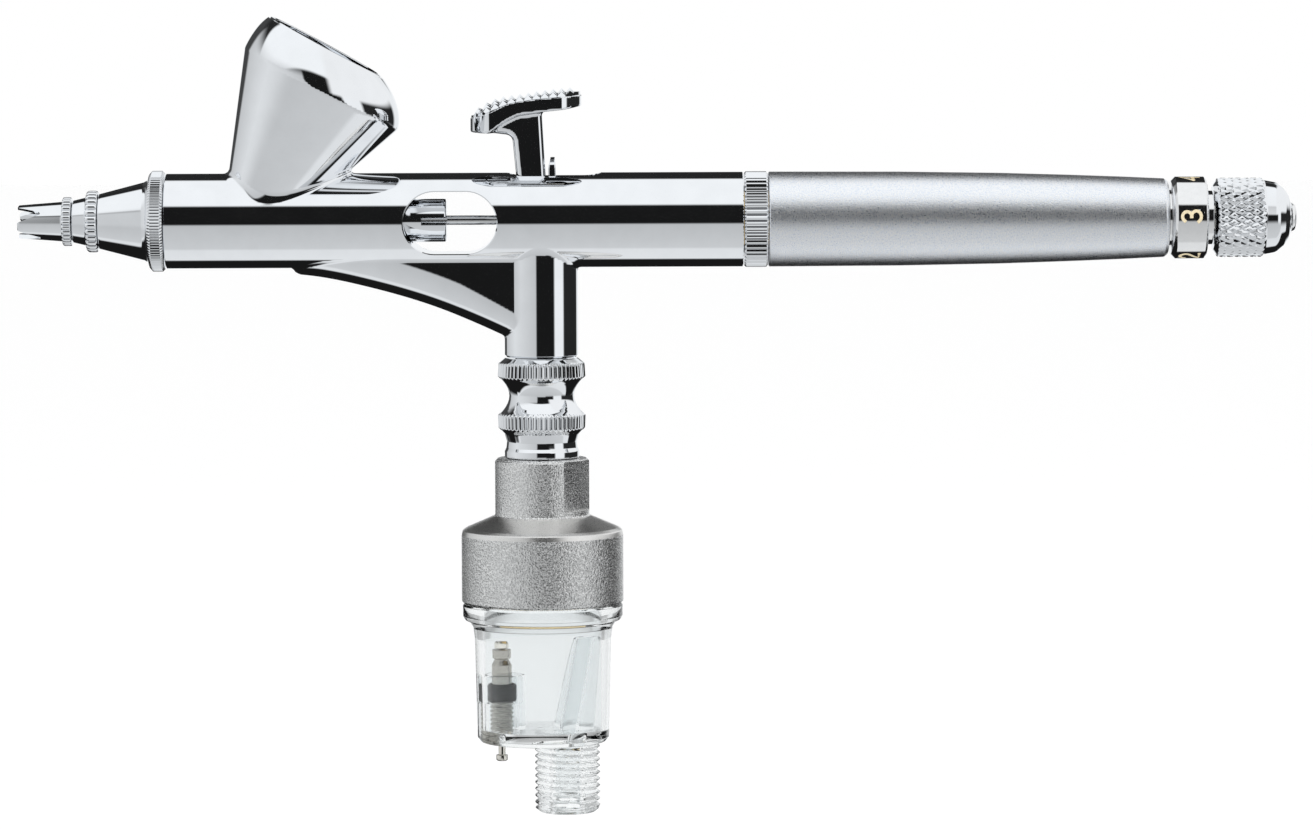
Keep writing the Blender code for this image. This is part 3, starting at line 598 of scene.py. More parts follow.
RIM_START = CUP_RIM[0][0]
RIM_END = CUP_RIM[-1][0]
CUP_START = 6.0
CUP_MIDDLE = (RIM_END + END_SPARE + CUP_START) / 2
CUP_REACH = CUP_MIDDLE - CUP_START
PROFILE_STEP = 0.02
PROFILE_ALONG = np.arange(0.0, RIM_END + 8.0, PROFILE_STEP)


def cup_profile(column, soften):
    """The cup's shift (column 1) or radius (column 2) along its axis, softly joined."""
    rise = np.array([c[0] for c in CUP_RIM]) - RIM_START
    curve = np.polyfit(rise, [c[column] for c in CUP_RIM], 4)
    above = np.polyval(curve, np.clip(PROFILE_ALONG - RIM_START, 0, RIM_END - RIM_START + 0.5))
    below = PROFILE_ALONG * (math.tan(CUP_HALF_ANGLE) if column == 2 else 0.0)
    sharp = np.where(PROFILE_ALONG > RIM_START, above, below)
    reach = int(3 * soften / PROFILE_STEP)
    weights = np.exp(-0.5 * (np.arange(-reach, reach + 1) * PROFILE_STEP / soften) ** 2)
    padded = np.concatenate([np.full(reach, sharp[0]), sharp, np.full(reach, sharp[-1])])
    return np.convolve(padded, weights / weights.sum(), "valid")


CUP_SHIFT = cup_profile(1, 0.2)
CUP_RADIUS = cup_profile(2, 0.12)
CUP_SLOPE = np.gradient(CUP_RADIUS, PROFILE_STEP)


def cup_outside(points):
    """Signed distance to the cup's outer surface, which has no top."""
    along, forward, side = cup_frame(points)
    shift = np.interp(along, PROFILE_ALONG, CUP_SHIFT)
    radius = np.interp(along, PROFILE_ALONG, CUP_RADIUS)
    slope = np.interp(along, PROFILE_ALONG, CUP_SLOPE)
    return (np.hypot(forward - shift, side) - radius) / np.sqrt(1 + slope * slope)


def web_bottom(x):
    """Height of the finger rest's lower edge."""
    ahead = np.clip(x - WEB_NOSE, 0, 60)
    return -7.0 - 0.0483 * ahead ** 1.55 - 0.35 * smoothstep(ahead / 1.2) * smoothstep(
        (22.0 - ahead) / 14.0)


def web_field(points):
    """The rest's web: flat sides, a fully round lower edge and a bowed nose."""
    x, y, z = points.T
    inside = np.clip((x - WEB_NOSE) / 5.0, 0, 1)
    half_width = WEB_HALF_WIDTH * (0.25 + 0.75 * np.sqrt(1 - (1 - inside) ** 2))
    # The lower edge is a taller oval further from the boss.
    squeeze = 0.95 - 0.16 * np.clip((-3.0 - x) / 8.0, 0, 1)
    drop = np.maximum(web_bottom(x) + half_width / squeeze - z, 0) * squeeze
    side = np.hypot(drop, y) - half_width
    side = np.maximum(side, z + 1.0)
    side = meet_round(side, WEB_NOSE - x, 0.5)
    return np.maximum(side, x - WEB_REAR)


def body_field(points):
    """The barrel, cup, boss and web with their fillets."""
    x, y, z = points.T
    barrel = np.hypot(y, z) - BARREL_R
    middle = (BARREL_FRONT + BARREL_REAR) / 2
    barrel = np.maximum(barrel, np.abs(x - middle) - (BARREL_REAR - middle + END_SPARE))
    boss = np.maximum(np.hypot(x, y) - BOSS_R, z + 1.0)
    boss = np.maximum(boss, BOSS_BOTTOM - END_SPARE - z)
    shape = unite_round(barrel, web_field(points), WEB_FILLET)
    shape = unite_round(shape, boss, BOSS_FILLET)
    along = cup_frame(points)[0]
    cup = np.maximum(cup_outside(points), np.abs(along - CUP_MIDDLE) - CUP_REACH)
    return unite_round(shape, cup, CUP_FILLET)


def make_hollow():
    """The cutter for the cup's inside and its rounded lip."""
    def wall(along):
        return float(np.interp(along, PROFILE_ALONG, CUP_RADIUS)) - CUP_WALL

    lip = wall(RIM_END)
    levels = [(CUP_FLOOR, 0.05), (CUP_FLOOR, wall(CUP_FLOOR) - 1.2),
              (CUP_FLOOR + 0.35, wall(CUP_FLOOR) - 0.35),
              (CUP_FLOOR + 1.1, wall(CUP_FLOOR + 1.1))]
    levels += [(a, wall(a)) for a in np.linspace(CUP_FLOOR + 3, RIM_END - 0.3, 40)]
    levels += [(RIM_END - 0.12, lip + 0.07), (RIM_END - 0.03, lip + 0.18),
               (RIM_END, lip + 0.3), (RIM_END, lip + 0.42), (RIM_END - 0.04, lip + 0.56),
               (RIM_END - 0.12, lip + 0.66), (RIM_END - 0.25, lip + 0.75),
               (RIM_END - 0.25, lip + 3.0), (RIM_END + 3.0, lip + 3.0)]
    rings = []
    for along, radius in levels:
        shift = float(np.interp(min(along, RIM_END), PROFILE_ALONG, CUP_SHIFT))
        rings.append([(CUP_APEX[0] + a * math.sin(CUP_LEAN) + forward * math.cos(CUP_LEAN),
                       side,
                       CUP_APEX[1] + a * math.cos(CUP_LEAN) - forward * math.sin(CUP_LEAN))
                      for forward, side, a in circle(shift, 0.0, along, radius, 160)])
    return loft("hollow", rings)


def make_body():
    """One brazed shell: barrel, cup and rest, bored and slotted."""
    low = (BARREL_FRONT - 1.0, -12.6, BOSS_BOTTOM - 0.9)
    high = (BARREL_REAR + 1.0, 12.6, 28.6)
    body = field_object("gun_body", body_field, low, high, BODY_CELL)
    tools = []
    for name, end, way in (("front", BARREL_FRONT, -1), ("rear", BARREL_REAR, 1)):
        edge = [(end - way * 0.12, BARREL_R + 0.02), (end, BARREL_R - 0.1), (end, 0.0),
                (end + way * 4, 0.0), (end + way * 4, BARREL_R + 3),
                (end - way * 0.12, BARREL_R + 3)]
        tools.append(lathe("trim_" + name, edge, segments=192))
    foot = [(BOSS_BOTTOM + 0.3, BOSS_R + 0.02), (BOSS_BOTTOM, BOSS_R - 0.28),
            (BOSS_BOTTOM, 0.0), (BOSS_BOTTOM - 3, 0.0), (BOSS_BOTTOM - 3, BOSS_R + 3),
            (BOSS_BOTTOM + 0.3, BOSS_R + 3)]
    tools.append(lathe("trim_boss", foot, along_z, 160))
    front_end = BARREL_FRONT - 3
    head_seat = BARREL_FRONT + 5.2
    tools.append(bore("bore_front", ((front_end, BORE_R), (head_seat, NEEDLE_BORE_R),
                                     (-26.3, PACKING_R)), -13.5, along_x, 96))
    tools.append(bore("bore_rear", ((-14.5, NEEDLE_BORE_R), (-4.5, BORE_R),
                                    (BARREL_REAR - 0.5, BORE_R + 0.4)), BARREL_REAR + 3,
                      along_x, 96))
    tools.append(bore("bore_valve", ((-3.0, 2.8), (-9.35, 3.62)), BOSS_BOTTOM - 3,
                      along_z, 96))
    tools.append(bore("throat", ((-0.5, 1.0),), 4.0, along_z, 48, (-37.7, 0.0)))
    tools.append(make_hollow())
    for tool in tools:
        face_outwards(tool.data)
    for tool in tools:
        cut(body, tool)
    cut_window(body)
    for name, x_range, radius, span in (("top_slot", (-4.6, 8.4), 2.4, (2.0, 8.0)),
                                        ("bottom_slot", (-3.2, 4.8), 2.7, (-8.0, -2.0))):
        cut(body, prism(name, obround(x_range, 0.0, radius), *span))
    set_field_normals(body, body_field)
    finish_piece(body, "airframe", "chrome", "barrel", "paint_cup", "finger_rest")


def bore(name, steps, end, place, segments, centre=(0.0, 0.0)):
    """A stepped hole's cutter: each step is where it starts and its radius."""
    ends = [a for a, _ in steps[1:]] + [end]
    outline = [(steps[0][0], 0)]
    for (start, radius), stop in zip(steps, ends):
        outline += [(start, radius), (stop, radius)]
    return lathe(name, outline + [(end, 0)], place, segments, centre)


def obround(x_range, centre, radius, grow=0.0):
    """A slot's outline: two half circles joined by straight sides."""
    out = []
    for end, way in ((x_range[1] - radius, 1), (x_range[0] + radius, -1)):
        for k in range(25):
            turn = math.pi * (k / 24 - 0.5)
            out.append((end + way * (radius + grow) * math.cos(turn),
                        centre + way * (radius + grow) * math.sin(turn)))
    return out


def cut_window(body):
    """Cuts the window through both walls, with a small bevel that follows each wall."""
    for side in (-1, 1):
        rings = []
        for depth, grow in ((-0.4, -0.26), (0.0, EDGE_BEVEL), (0.5, EDGE_BEVEL + 0.5)):
            rings.append([(u, side * (math.sqrt(BARREL_R ** 2 - v * v) + depth), v)
                          for u, v in obround(WINDOW_X, WINDOW_Z, WINDOW_R, grow)])
        cut(body, loft("window_bevel", rings))
    cut(body, prism("window", obround(WINDOW_X, WINDOW_Z, WINDOW_R), -9, 9,
                    lambda u, v, w: (u, w, v)))


# ---- camera, light and floor

FLOOR_DROP = 45.0
FLOOR_HALF = 4000.0


def square(half):
    return (-half, -half), (half, -half), (half, half), (-half, half)


def make_stage():
    """A pale floor under the part, out of the reflections."""
    floor = mesh_object("floor", [(x, y, BOWL_BOTTOM - FLOOR_DROP) for x, y in
                                  square(FLOOR_HALF)], [(0, 1, 2, 3)])
    made, shader = node_material("pale_floor", (0.93, 0.93, 0.93), 0.9, 0.0)
    shader.inputs["Emission Color"].default_value = (1, 1, 1, 1)
    shader.inputs["Emission Strength"].default_value = 0.08
    floor.data.materials.append(made)
    floor.visible_glossy = False


# Brightness of the studio by the angle above the camera's side, for lengthways surfaces.
STUDIO = ((-180, 0.95), (-168, 0.95), (-163, 0.01), (-112, 0.01), (-107, 0.85),
          (-75, 0.82), (-69, 0.66), (-10, 0.56), (-6, 0.01), (36, 0.01), (40, 1.0),
          (116, 1.0), (121, 0.02), (170, 0.02), (174, 0.95), (180, 0.95))
# Brightness near the horizon by the angle to the right of the camera, for upright ones.
HORIZON = ((-180, 0.9), (-174, 0.5), (-168, 0.06), (-141, 0.06), (-135, 0.6), (-90, 0.8),
           (-17, 0.6), (-11, 0.01), (40, 0.01), (45, 0.95), (72, 0.95), (77, 0.02),
           (142, 0.02), (149, 0.9), (180, 0.9))
COOL = (0.965, 0.985, 1.0)


class Wiring:
    """Short calls for building the world's node tree."""

    def __init__(self, tree):
        self.tree = tree

    def maths(self, operation, *values):
        node = self.tree.nodes.new("ShaderNodeMath")
        node.operation = operation
        for socket, value in zip(node.inputs, values):
            set_socket(self.tree, socket, value)
        return node.outputs[0]

    def product(self, first, *others):
        for other in others:
            first = self.maths("MULTIPLY", first, other)
        return first

    def step(self, value, low, high):
        """0 up to low and 1 from high on, with a soft change between."""
        node = add_node(self.tree, "MapRange", Value=value, From_Min=low, From_Max=high)
        node.interpolation_type = "SMOOTHSTEP"
        return node.outputs["Result"]

    def ramp(self, y, x, stops):
        """A brightness looked up by the angle of (x, y)."""
        angle = self.maths("ARCTAN2", y, x)
        node = add_node(self.tree, "ValToRGB",
                        Fac=self.maths("MULTIPLY_ADD", angle, 1 / TURN, 0.5))
        elements = node.color_ramp.elements
        while len(elements) > 1:
            elements.remove(elements[-1])
        for k, (degrees, value) in enumerate(stops):
            place = (degrees + 180) / 360
            element = elements[0] if k == 0 else elements.new(place)
            element.position = place
            element.color = (*[value * c for c in COOL], 1)
        return node.outputs["Color"]


# What a mirror sees of the studio for a ray inside clear plastic, and what shows through.
INSIDE_DROP = -0.55
THROUGH_SHARE = 0.42


def make_world():
    """A studio of soft panels and dark flags, laid out by direction for the reflections."""
    world = bpy.data.worlds.new("studio")
    bpy.context.scene.world = world
    world.use_nodes = True
    tree = world.node_tree
    tree.nodes.clear()
    wiring = Wiring(tree)
    where = add_node(tree, "TexCoord").outputs["Generated"]
    x, y, z = add_node(tree, "SeparateXYZ", Vector=where).outputs
    toward = wiring.maths("MULTIPLY", y, -1.0)
    level = wiring.product(wiring.step(z, -0.35, -0.1), wiring.step(z, 0.65, 0.4))
    sideways = wiring.step(wiring.maths("ABSOLUTE", x), 0.2, 0.28)
    shown = mix_colours(tree, wiring.product(level, sideways),
                        wiring.ramp(z, toward, STUDIO), wiring.ramp(x, toward, HORIZON))
    corner = wiring.product(wiring.step(x, 0.35, 0.5), wiring.step(z, 0.1, 0.22))
    shown = mix_colours(tree, corner, shown, (0.92, 0.93, 0.94))
    under = wiring.product(wiring.step(x, -0.08, -0.16), wiring.step(y, -0.12, 0.0),
                           wiring.step(z, -0.35, -0.5))
    shown = mix_colours(tree, under, shown, (0.01, 0.01, 0.01))
    bands = add_node(tree, "Background", Color=shown)
    plain = add_node(tree, "Background", Color=(1, 1, 1, 1))
    ray = add_node(tree, "LightPath").outputs
    inside = wiring.step(ray["Transmission Depth"], 0.2, 0.8)
    mirrored = wiring.product(ray["Is Glossy Ray"],
                              wiring.maths("MULTIPLY_ADD", inside, INSIDE_DROP, 1.0))
    through = wiring.product(ray["Is Transmission Ray"], THROUGH_SHARE)
    choose = add_node(tree, "MixShader", Fac=wiring.maths("MAXIMUM", mirrored, through))
    set_socket(tree, choose.inputs[1], plain.outputs["Background"])
    set_socket(tree, choose.inputs[2], bands.outputs["Background"])
    add_node(tree, "OutputWorld", Surface=choose.outputs["Shader"])


def make_light(name, location, size, watts):
    """A soft area light aimed at the middle of the object."""
    data = bpy.data.lights.new(name, "AREA")
    data.size = size * MM
    data.energy = watts
    light = add_object(name, data)
    light.location = Vector(location) * MM
    light.rotation_euler = (-light.location).to_track_quat("-Z", "Y").to_euler()
    light.visible_glossy = False
    light.visible_transmission = False


LENS = 150.35
CAMERA_AIM = (15.75, 0.0, -26.8)
CAMERA_DISTANCE = 753.3
CAMERA_AZIMUTH = math.radians(-0.3)
CAMERA_ELEVATION = math.radians(4.3)
CAMERA_ROLL = math.radians(-0.2)


def make_camera():
    """Looks from slightly to the left and from above the level."""
    data = bpy.data.cameras.new("camera")
    data.lens = LENS
    data.sensor_width = 36.0
    data.clip_start = 0.05
    camera = add_object("camera", data)
    level = math.cos(CAMERA_ELEVATION)
    back = Vector((math.sin(CAMERA_AZIMUTH) * level, -math.cos(CAMERA_AZIMUTH) * level,
                   math.sin(CAMERA_ELEVATION)))
    camera.location = Vector(CAMERA_AIM) * MM + back * CAMERA_DISTANCE * MM
    turn = (-back).to_track_quat("-Z", "Y").to_matrix().to_4x4()
    camera.rotation_euler = (turn @ Matrix.Rotation(CAMERA_ROLL, 4, "Z")).to_euler()
    bpy.context.scene.camera = camera


bpy.context.scene.view_settings.view_transform = "Standard"


# ---- spray head

BEAD_DEPTH = 0.32
CROWN_BEADS = 28
CAP_BEADS = 27
HEAD_TEETH = 96


def beads(count, depth, low, high, fade):
    """Relief for a ring of rounded beads between two places along the axis."""
    def relief(a, r, theta):
        hump = np.sqrt(np.abs(np.cos(theta * count / 2)))
        return depth * (hump - 1) * within(a, low, high, fade)
    return relief


def teeth(theta, count, shift=0.0):
    """0 on each tooth's crest and 1 in the groove between teeth."""
    return np.abs(((theta * count / TURN + shift) % 1.0) * 2 - 1)


def straight_knurl(count, depth, low, high, fade=0.15):
    """Relief for straight teeth with V grooves between two places along the axis."""
    def relief(a, r, theta):
        return -depth * teeth(theta, count) ** 1.6 * within(a, low, high, fade)
    return relief


def diamond_knurl(count, pitch, depth, low, high, fade=0.25):
    """Relief for pyramids between two crossing families of helical grooves."""
    def relief(a, r, theta):
        both = np.maximum(teeth(theta, count, a / pitch), teeth(theta, count, -a / pitch))
        groove = np.clip(both - 0.3, 0, 1) / 0.7
        return (0.06 - depth * groove) * within(a, low, high, fade)
    return relief


def thread(pitch, depth, low, high, fade=0.4):
    """Relief for a single-start thread with rounded crests."""
    def relief(a, r, theta):
        turn = theta + TURN * a / pitch
        return -depth * (0.5 - 0.5 * np.cos(turn)) ** 0.8 * within(a, low, high, fade)
    return relief


def notch_tool(name, turn):
    """A V notch for the crown cap, rounded at its apex."""
    outline = rounded([(-73.0, 1.6), (-67.77, 0.0, 0.25), (-73.0, -1.6)])
    radial = np.array([0.0, math.cos(turn), math.sin(turn)])
    across = np.array([0.0, -math.sin(turn), math.cos(turn)])
    return loft(name, [[np.array([x, 0, 0]) + radial * reach + across * w
                        for x, w in outline] for reach in (0.0, 4.5)])


def make_head():
    outline = rounded([
        (-71.5, 1.75, 0.12), (-71.5, 2.25, 0.22), (-65.42, 2.72, 0.05), (-65.42, 3.34, 0.62),
        (-64.16, 3.34, 0.62), (-64.16, 2.85, 0.05), (-64.1, 2.6, 0.05), (-66.6, 2.6),
        (-67.3, 1.75)], 0.1, True)
    crown = lathe("crown_cap_shell", finer(outline, 0.14), segments=CROWN_BEADS * 12,
                  relief=beads(CROWN_BEADS, BEAD_DEPTH, -65.3, -64.3, 0.15))
    for degrees in (61.0, 151.0, 241.0, 331.0):
        cut(crown, notch_tool("notch", math.radians(degrees)))
    finish_piece(crown, "airframe", "chrome", "crown_cap")

    outline = rounded([
        (-68.0, 0.95), (-68.0, 1.3), (-67.0, 1.7), (-66.4, 2.45, 0.3), (-64.02, 2.45, 0.05),
        (-64.0, 2.87, 0.12), (-62.2, 3.31, 0.1), (-62.1, 4.22, 0.74), (-60.6, 4.22, 0.74),
        (-60.5, 3.6, 0.05), (-60.5, 2.95), (-62.6, 2.95), (-63.7, 2.15), (-65.8, 1.75),
        (-67.2, 0.95)], 0.05, True)
    turned("nozzle_cap", outline, "airframe", "chrome", 0.15, segments=CAP_BEADS * 12,
           relief=beads(CAP_BEADS, BEAD_DEPTH * 1.2, -61.95, -60.72, 0.15))

    outline = rounded([
        (-62.5, 1.75), (-62.5, 2.85), (-60.45, 2.85), (-60.45, 3.75, 0.15),
        (-54.3, 5.36, 0.5), (-53.75, 5.7, 0.3), (-53.5, 6.45, 0.1), (-53.1, 6.89, 0.1),
        (-51.75, 6.89, 0.1), (-51.4, 6.5, 0.08), (-51.37, 4.75), (-46.3, 4.75), (-46.3, 0.95),
        (-57.6, 0.95), (-57.6, 1.75)], 0.05, True)
    turned("head_housing", outline, "airframe", "chrome", 0.3, segments=HEAD_TEETH * 8,
           relief=straight_knurl(HEAD_TEETH, 0.17, -53.15, -51.65, 0.3))

    outline = rounded([
        (-69.0, 0.2), (-69.0, 0.42, 0.04), (-66.4, 0.8), (-64.6, 1.5), (-63.9, 2.0),
        (-63.35, 2.0), (-63.35, 1.55), (-58.0, 1.55), (-58.0, 0.8), (-60.0, 0.8)], 0.03, True)
    turned("fluid_nozzle", outline, "airframe", "nickel")

    outline = [(-69.4, 0), (-69.25, 0.08), (-59.9, 0.645), (61.2, 0.645), (61.5, 0.345),
               (61.5, 0)]
    turned("needle", outline, "needle_carriage", "steel", segments=48)


def make_packing():
    outline = rounded([(-23.4, 0.85), (-23.4, 2.95, 0.1), (-12.9, 2.95, 0.3),
                       (-12.9, 0.85, 0.15)], 0.1, True)
    screw = lathe("packing_screw_shell", finer(outline, 0.6), segments=96)
    cut(screw, prism("slot", [(-16.3, -4), (-12.0, -4), (-12.0, 4), (-16.3, 4)],
                     -0.58, 0.58))
    finish_piece(screw, "airframe", "chrome", "packing_screw")


# ---- air valve and tail

VALVE_TEETH = 52
VALVE_RINGS = ((-21.38, -19.75), (-28.42, -26.82))
TAIL_TEETH = 46


def valve_relief(a, r, theta):
    return sum(straight_knurl(VALVE_TEETH, 0.32, low, high, 0.25)(a, r, theta)
               for low, high in VALVE_RINGS)


def make_air_valve():
    waist = [(-21.5 - 5.2 * t, 6.02 - 1.55 * math.sin(math.pi * t) ** 0.8, 0.0)
             for t in (0.03, 0.1, 0.2, 0.3, 0.4, 0.5, 0.6, 0.7, 0.8, 0.9, 0.97)]
    outline = rounded([
        (-9.4, 2.75), (-9.4, 3.6), (-18.87, 3.6), (-18.87, 5.0, 0.1), (-19.6, 5.9, 0.25),
        (-21.45, 6.02, 0.15), *waist, (-26.75, 6.02, 0.15), (-28.5, 5.95, 0.25),
        (-29.3, 5.15, 0.3), (-30.4, 4.82, 0.4), (-31.2, 4.9, 0.3), (-31.7, 5.13, 0.2),
        (-32.58, 5.13, 0.1), (-32.58, 4.55), (-38.5, 4.55, 0.2), (-38.5, 3.3),
        (-20.3, 3.3), (-20.3, 1.45), (-13.0, 1.45), (-13.0, 2.75)], 0.05, True)
    turned("air_valve_body", outline, "airframe", "chrome", 0.3, along_z,
           VALVE_TEETH * 10, "air_valve", relief=valve_relief)


def make_tail():
    outline = rounded([(27.82, 4.6), (27.82, 6.3, 0.05), (28.05, 6.55, 0.12),
                       (30.85, 6.55, 0.12), (31.05, 6.3, 0.05), (31.05, 4.6)], 0.05, True)
    turned("tail_ring", outline, "airframe", "chrome", 0.25, segments=TAIL_TEETH * 10,
           relief=straight_knurl(TAIL_TEETH, 0.34, 27.95, 30.95, 0.12))

    outline = rounded([
        (31.17, 4.9), (31.17, 6.38, 0.12), (31.3, 6.5, 0.1), (49.2, 6.43, 12.0),
        (62.9, 6.21, 12.0), (72.0, 5.93, 12.0), (79.3, 5.66, 12.0), (85.35, 5.38, 0.4),
        (85.83, 5.0, 0.2), (85.83, 4.1), (81, 4.1), (81, 2.4), (74, 2.4), (73, 3.7),
        (60, 4.3), (58.5, 4.9)], 0.05, True, 6)
    turned("handle", outline, "airframe", "satin_handle", 2.0, segments=192)

    outline = rounded([(64.9, 0), (64.9, 1.9, 0.2), (97.0, 1.9, 0.1), (97.0, 0)], 0.1)
    turned("stop_screw", outline, "preset_stop", "nickel", 0.12,
           relief=thread(0.7, -0.3, 74.6, 80.5, 0.3))


# ---- preset dial and knob

DIAL_R = 5.62
DIGIT_HEIGHT = 2.56
DIGIT_WIDTH = 1.7
DIGIT_STROKE = 0.45
DIGIT_OFFSET = 1.9
DIGIT_DEPTH = 0.12
KNOB_GROOVES = 34

# Each digit as strokes in a unit box: straight runs and arcs (centre, radii, from, to).
DIGITS = {
    1: [[(0.2, 0.76), (0.55, 1.0), (0.55, 0.0)]],
    2: [[("arc", 0.5, 0.7, 0.42, 0.3, 170, -38), (0.05, 0.0), (0.98, 0.0)]],
    3: [[("arc", 0.47, 0.755, 0.40, 0.245, 150, -90)],
        [("arc", 0.47, 0.26, 0.46, 0.26, 90, -150)]],
    4: [[(0.72, 0.0), (0.72, 1.0), (0.02, 0.3)], [(0.02, 0.3), (1.0, 0.3)]],
    5: [[(0.88, 1.0), (0.22, 1.0), (0.12, 0.55),
         ("arc", 0.48, 0.33, 0.45, 0.33, 125, -150)]],
}


def stroke_points(stroke):
    out = []
    for item in stroke:
        if item[0] != "arc":
            out.append(item)
            continue
        _, u, v, ru, rv, start, end = item
        for k in range(17):
            turn = math.radians(start + (end - start) * k / 16)
            out.append((u + ru * math.cos(turn), v + rv * math.sin(turn)))
    return out


def digit_strokes(value, turn):
    """The digit's centre lines as (X, angle) points: its top points to the front."""
    middle = (DIAL_FRONT + DIAL_REAR) / 2 + DIGIT_OFFSET
    return [[(middle - (v - 0.5) * DIGIT_HEIGHT, turn + (u - 0.5) * DIGIT_WIDTH / DIAL_R)
             for u, v in stroke_points(stroke)] for stroke in DIGITS[value]]


def digit_ribbon(line, half_width, inner_r, outer_r, name):
    """A bar along one of a digit's centre lines, wrapped on the ring."""
    verts = []
    faces = []
    flat = [np.array([x, turn * DIAL_R]) for x, turn in line]
    end = len(flat) - 1
    for k, here in enumerate(flat):
        before = flat[max(k - 1, 0)]
        way = flat[min(k + 1, end)] - before
        way = way / max(np.linalg.norm(way), TINY)
        side = np.array([-way[1], way[0]]) * half_width
        if 0 < k < end:
            first = (here - before) / np.linalg.norm(here - before)
            side = side / max(abs(float(first @ way)), 0.6)
        reach = way * half_width * (-1 if k == 0 else 1 if k == end else 0)
        for flank in (-1, 1):
            x, arc = here + side * flank + reach
            for r in (inner_r, outer_r):
                # Angles grow upwards from -Y, the side that faces the camera.
                verts.append((x, -r * math.cos(arc / DIAL_R), r * math.sin(arc / DIAL_R)))
    for k in range(end):
        a, b = 4 * k, 4 * (k + 1)
        faces += [(a, b, b + 1, a + 1), (a + 2, a + 3, b + 3, b + 2),
                  (a, a + 2, b + 2, b), (a + 1, b + 1, b + 3, a + 3)]
    last = 4 * end
    faces += [(0, 1, 3, 2), (last, last + 2, last + 3, last + 1)]
    return mesh_object(name, verts, faces, 30.0)


def make_knob():
    outline = rounded([
        (81.6, 2.02), (81.6, 3.79, 0.1), (86.26, 3.79, 0.05), (86.26, 5.0, 0.1),
        (86.85, 5.62, 0.12), (90.75, 5.62, 0.1), (91.06, 5.3, 0.1), (91.06, 3.69),
        (91.95, 3.69), (91.95, 2.02)], 0.05, True)
    ring = lathe("dial_ring_shell", finer(outline, 0.8), segments=240)
    for value in DIGITS:
        # The digit 3 faces the camera, and the others are a fifth of a turn apart.
        for k, line in enumerate(digit_strokes(value, math.radians(4 + 72 * (value - 3)))):
            groove = digit_ribbon(line, DIGIT_STROKE / 2, DIAL_R - DIGIT_DEPTH,
                                  DIAL_R + 0.3, "groove")
            combine(ring, [groove], "DIFFERENCE", tangled=True)
            fill = digit_ribbon(line, DIGIT_STROKE / 2 - 0.004, DIAL_R - DIGIT_DEPTH - 0.01,
                                DIAL_R - 0.035 - 0.004 * k, f"digit_{value}_{k + 1}")
            finish_piece(fill, "preset_knob", "brass", made=GOLD)
    finish_piece(ring, "preset_knob", "chrome", "dial_ring", made=BRIGHT)

    outline = rounded([
        (92.05, 2.02), (92.05, 4.4, 0.1), (92.7, 5.36, 0.2), (98.7, 5.36, 0.2),
        (99.05, 5.1, 0.08), (100.7, 4.8, 1.5), (101.75, 3.95, 0.8), (102.35, 3.1, 0.5),
        (102.6, 2.4, 0.2), (102.6, 1.2, 0.15), (97.6, 1.2), (97.6, 2.02)], 0.1, True, 6)
    turned("adjust_knob", outline, "preset_knob", "chrome", 0.12,
           segments=KNOB_GROOVES * 16, sharp=20.0,
           relief=diamond_knurl(KNOB_GROOVES, 2.1, 0.27, 92.75, 98.6, 0.3))

    outline = rounded([(98.0, 0), (98.0, 1.05), (102.82, 1.05, 0.02), (102.82, 1.98, 0.05),
                       (103.3, 1.75, 0.3), (103.55, 0.9, 0.8), (103.55, 0)], 0.05)
    turned("end_button", outline, "preset_knob", "chrome", segments=96, made=BRIGHT)


# ---- levers

PAD_TOP = ((-9.58, 13.75), (-7.03, 14.4), (-4.84, 15.55), (-3.0, 16.0), (-0.8, 16.3),
           (3.28, 16.65), (5.61, 16.95))
PAD_UNDER = ((-9.58, 12.04), (-7.03, 11.9), (-4.84, 13.55), (-3.0, 14.45), (-0.8, 14.7),
             (3.28, 15.12), (5.61, 15.6))
PAD_HALF_WIDTH = 4.45
PAD_END_R = 5.06
# The tread's height along the pad's middle, under its pyramids.
TREAD_MIDDLE = ((-9.58, 14.1), (-8.9, 14.55), (-6.84, 15.85), (-4.8, 16.4), (-2.7, 16.65),
                (-0.7, 17.0), (1.4, 17.3), (3.4, 17.5), (5.61, 17.6))
# How far the tread's base stands over the pad's edge.
TREAD_RAISE = 0.2
TREAD_INSET = 0.12
TREAD_PITCH = 1.14
TREAD_HEIGHT = 0.57
PIVOT_Z = -7.0
PUSH_PIVOT = (3.4, -5.4)
STEM_TOP = 15.2
STEM_EDGE_R = 0.85
GUSSET_FILLET = 0.76
PAD_EDGE_R = 0.2
PAD_FILLET = 0.5
FOOT_R = 1.2
FOOT_HALF_WIDTH = 1.6
FOOT_FILLET = 0.3
# Height, front face, rear face and half width of the stem.
STEM = ((-7.0, -0.85, 0.85, 1.6), (-3.6, -1.2, 1.0, 1.7), (-1.5, -2.4, 0.85, 2.0),
        (2.0, -2.9, 0.82, 2.0), (5.9, -3.31, 0.72, 2.0), (11.4, -3.83, 0.42, 2.0),
        (15.0, -4.2, 0.22, 2.0))


def smooth_curve(rows, x, sigma, column=1):
    """Straight interpolation of a column of rows against their first, smoothed."""
    xs = np.array([row[0] for row in rows])
    ys = np.array([row[column] for row in rows])
    total = 0
    for shift, weight in ((-1.5, 0.15), (-0.5, 0.35), (0.5, 0.35), (1.5, 0.15)):
        total = total + weight * np.interp(x + shift * sigma, xs, ys)
    return total


def pad_plan(x, y):
    """Distance outside the pad's plan: parallel sides and arc ends."""
    front = PAD_TOP[0][0] + PAD_END_R
    rear = PAD_TOP[-1][0] - PAD_END_R
    ends = np.hypot(np.maximum(np.maximum(front - x, x - rear), 0), y) - PAD_END_R
    return np.maximum(ends, np.abs(y) - PAD_HALF_WIDTH)


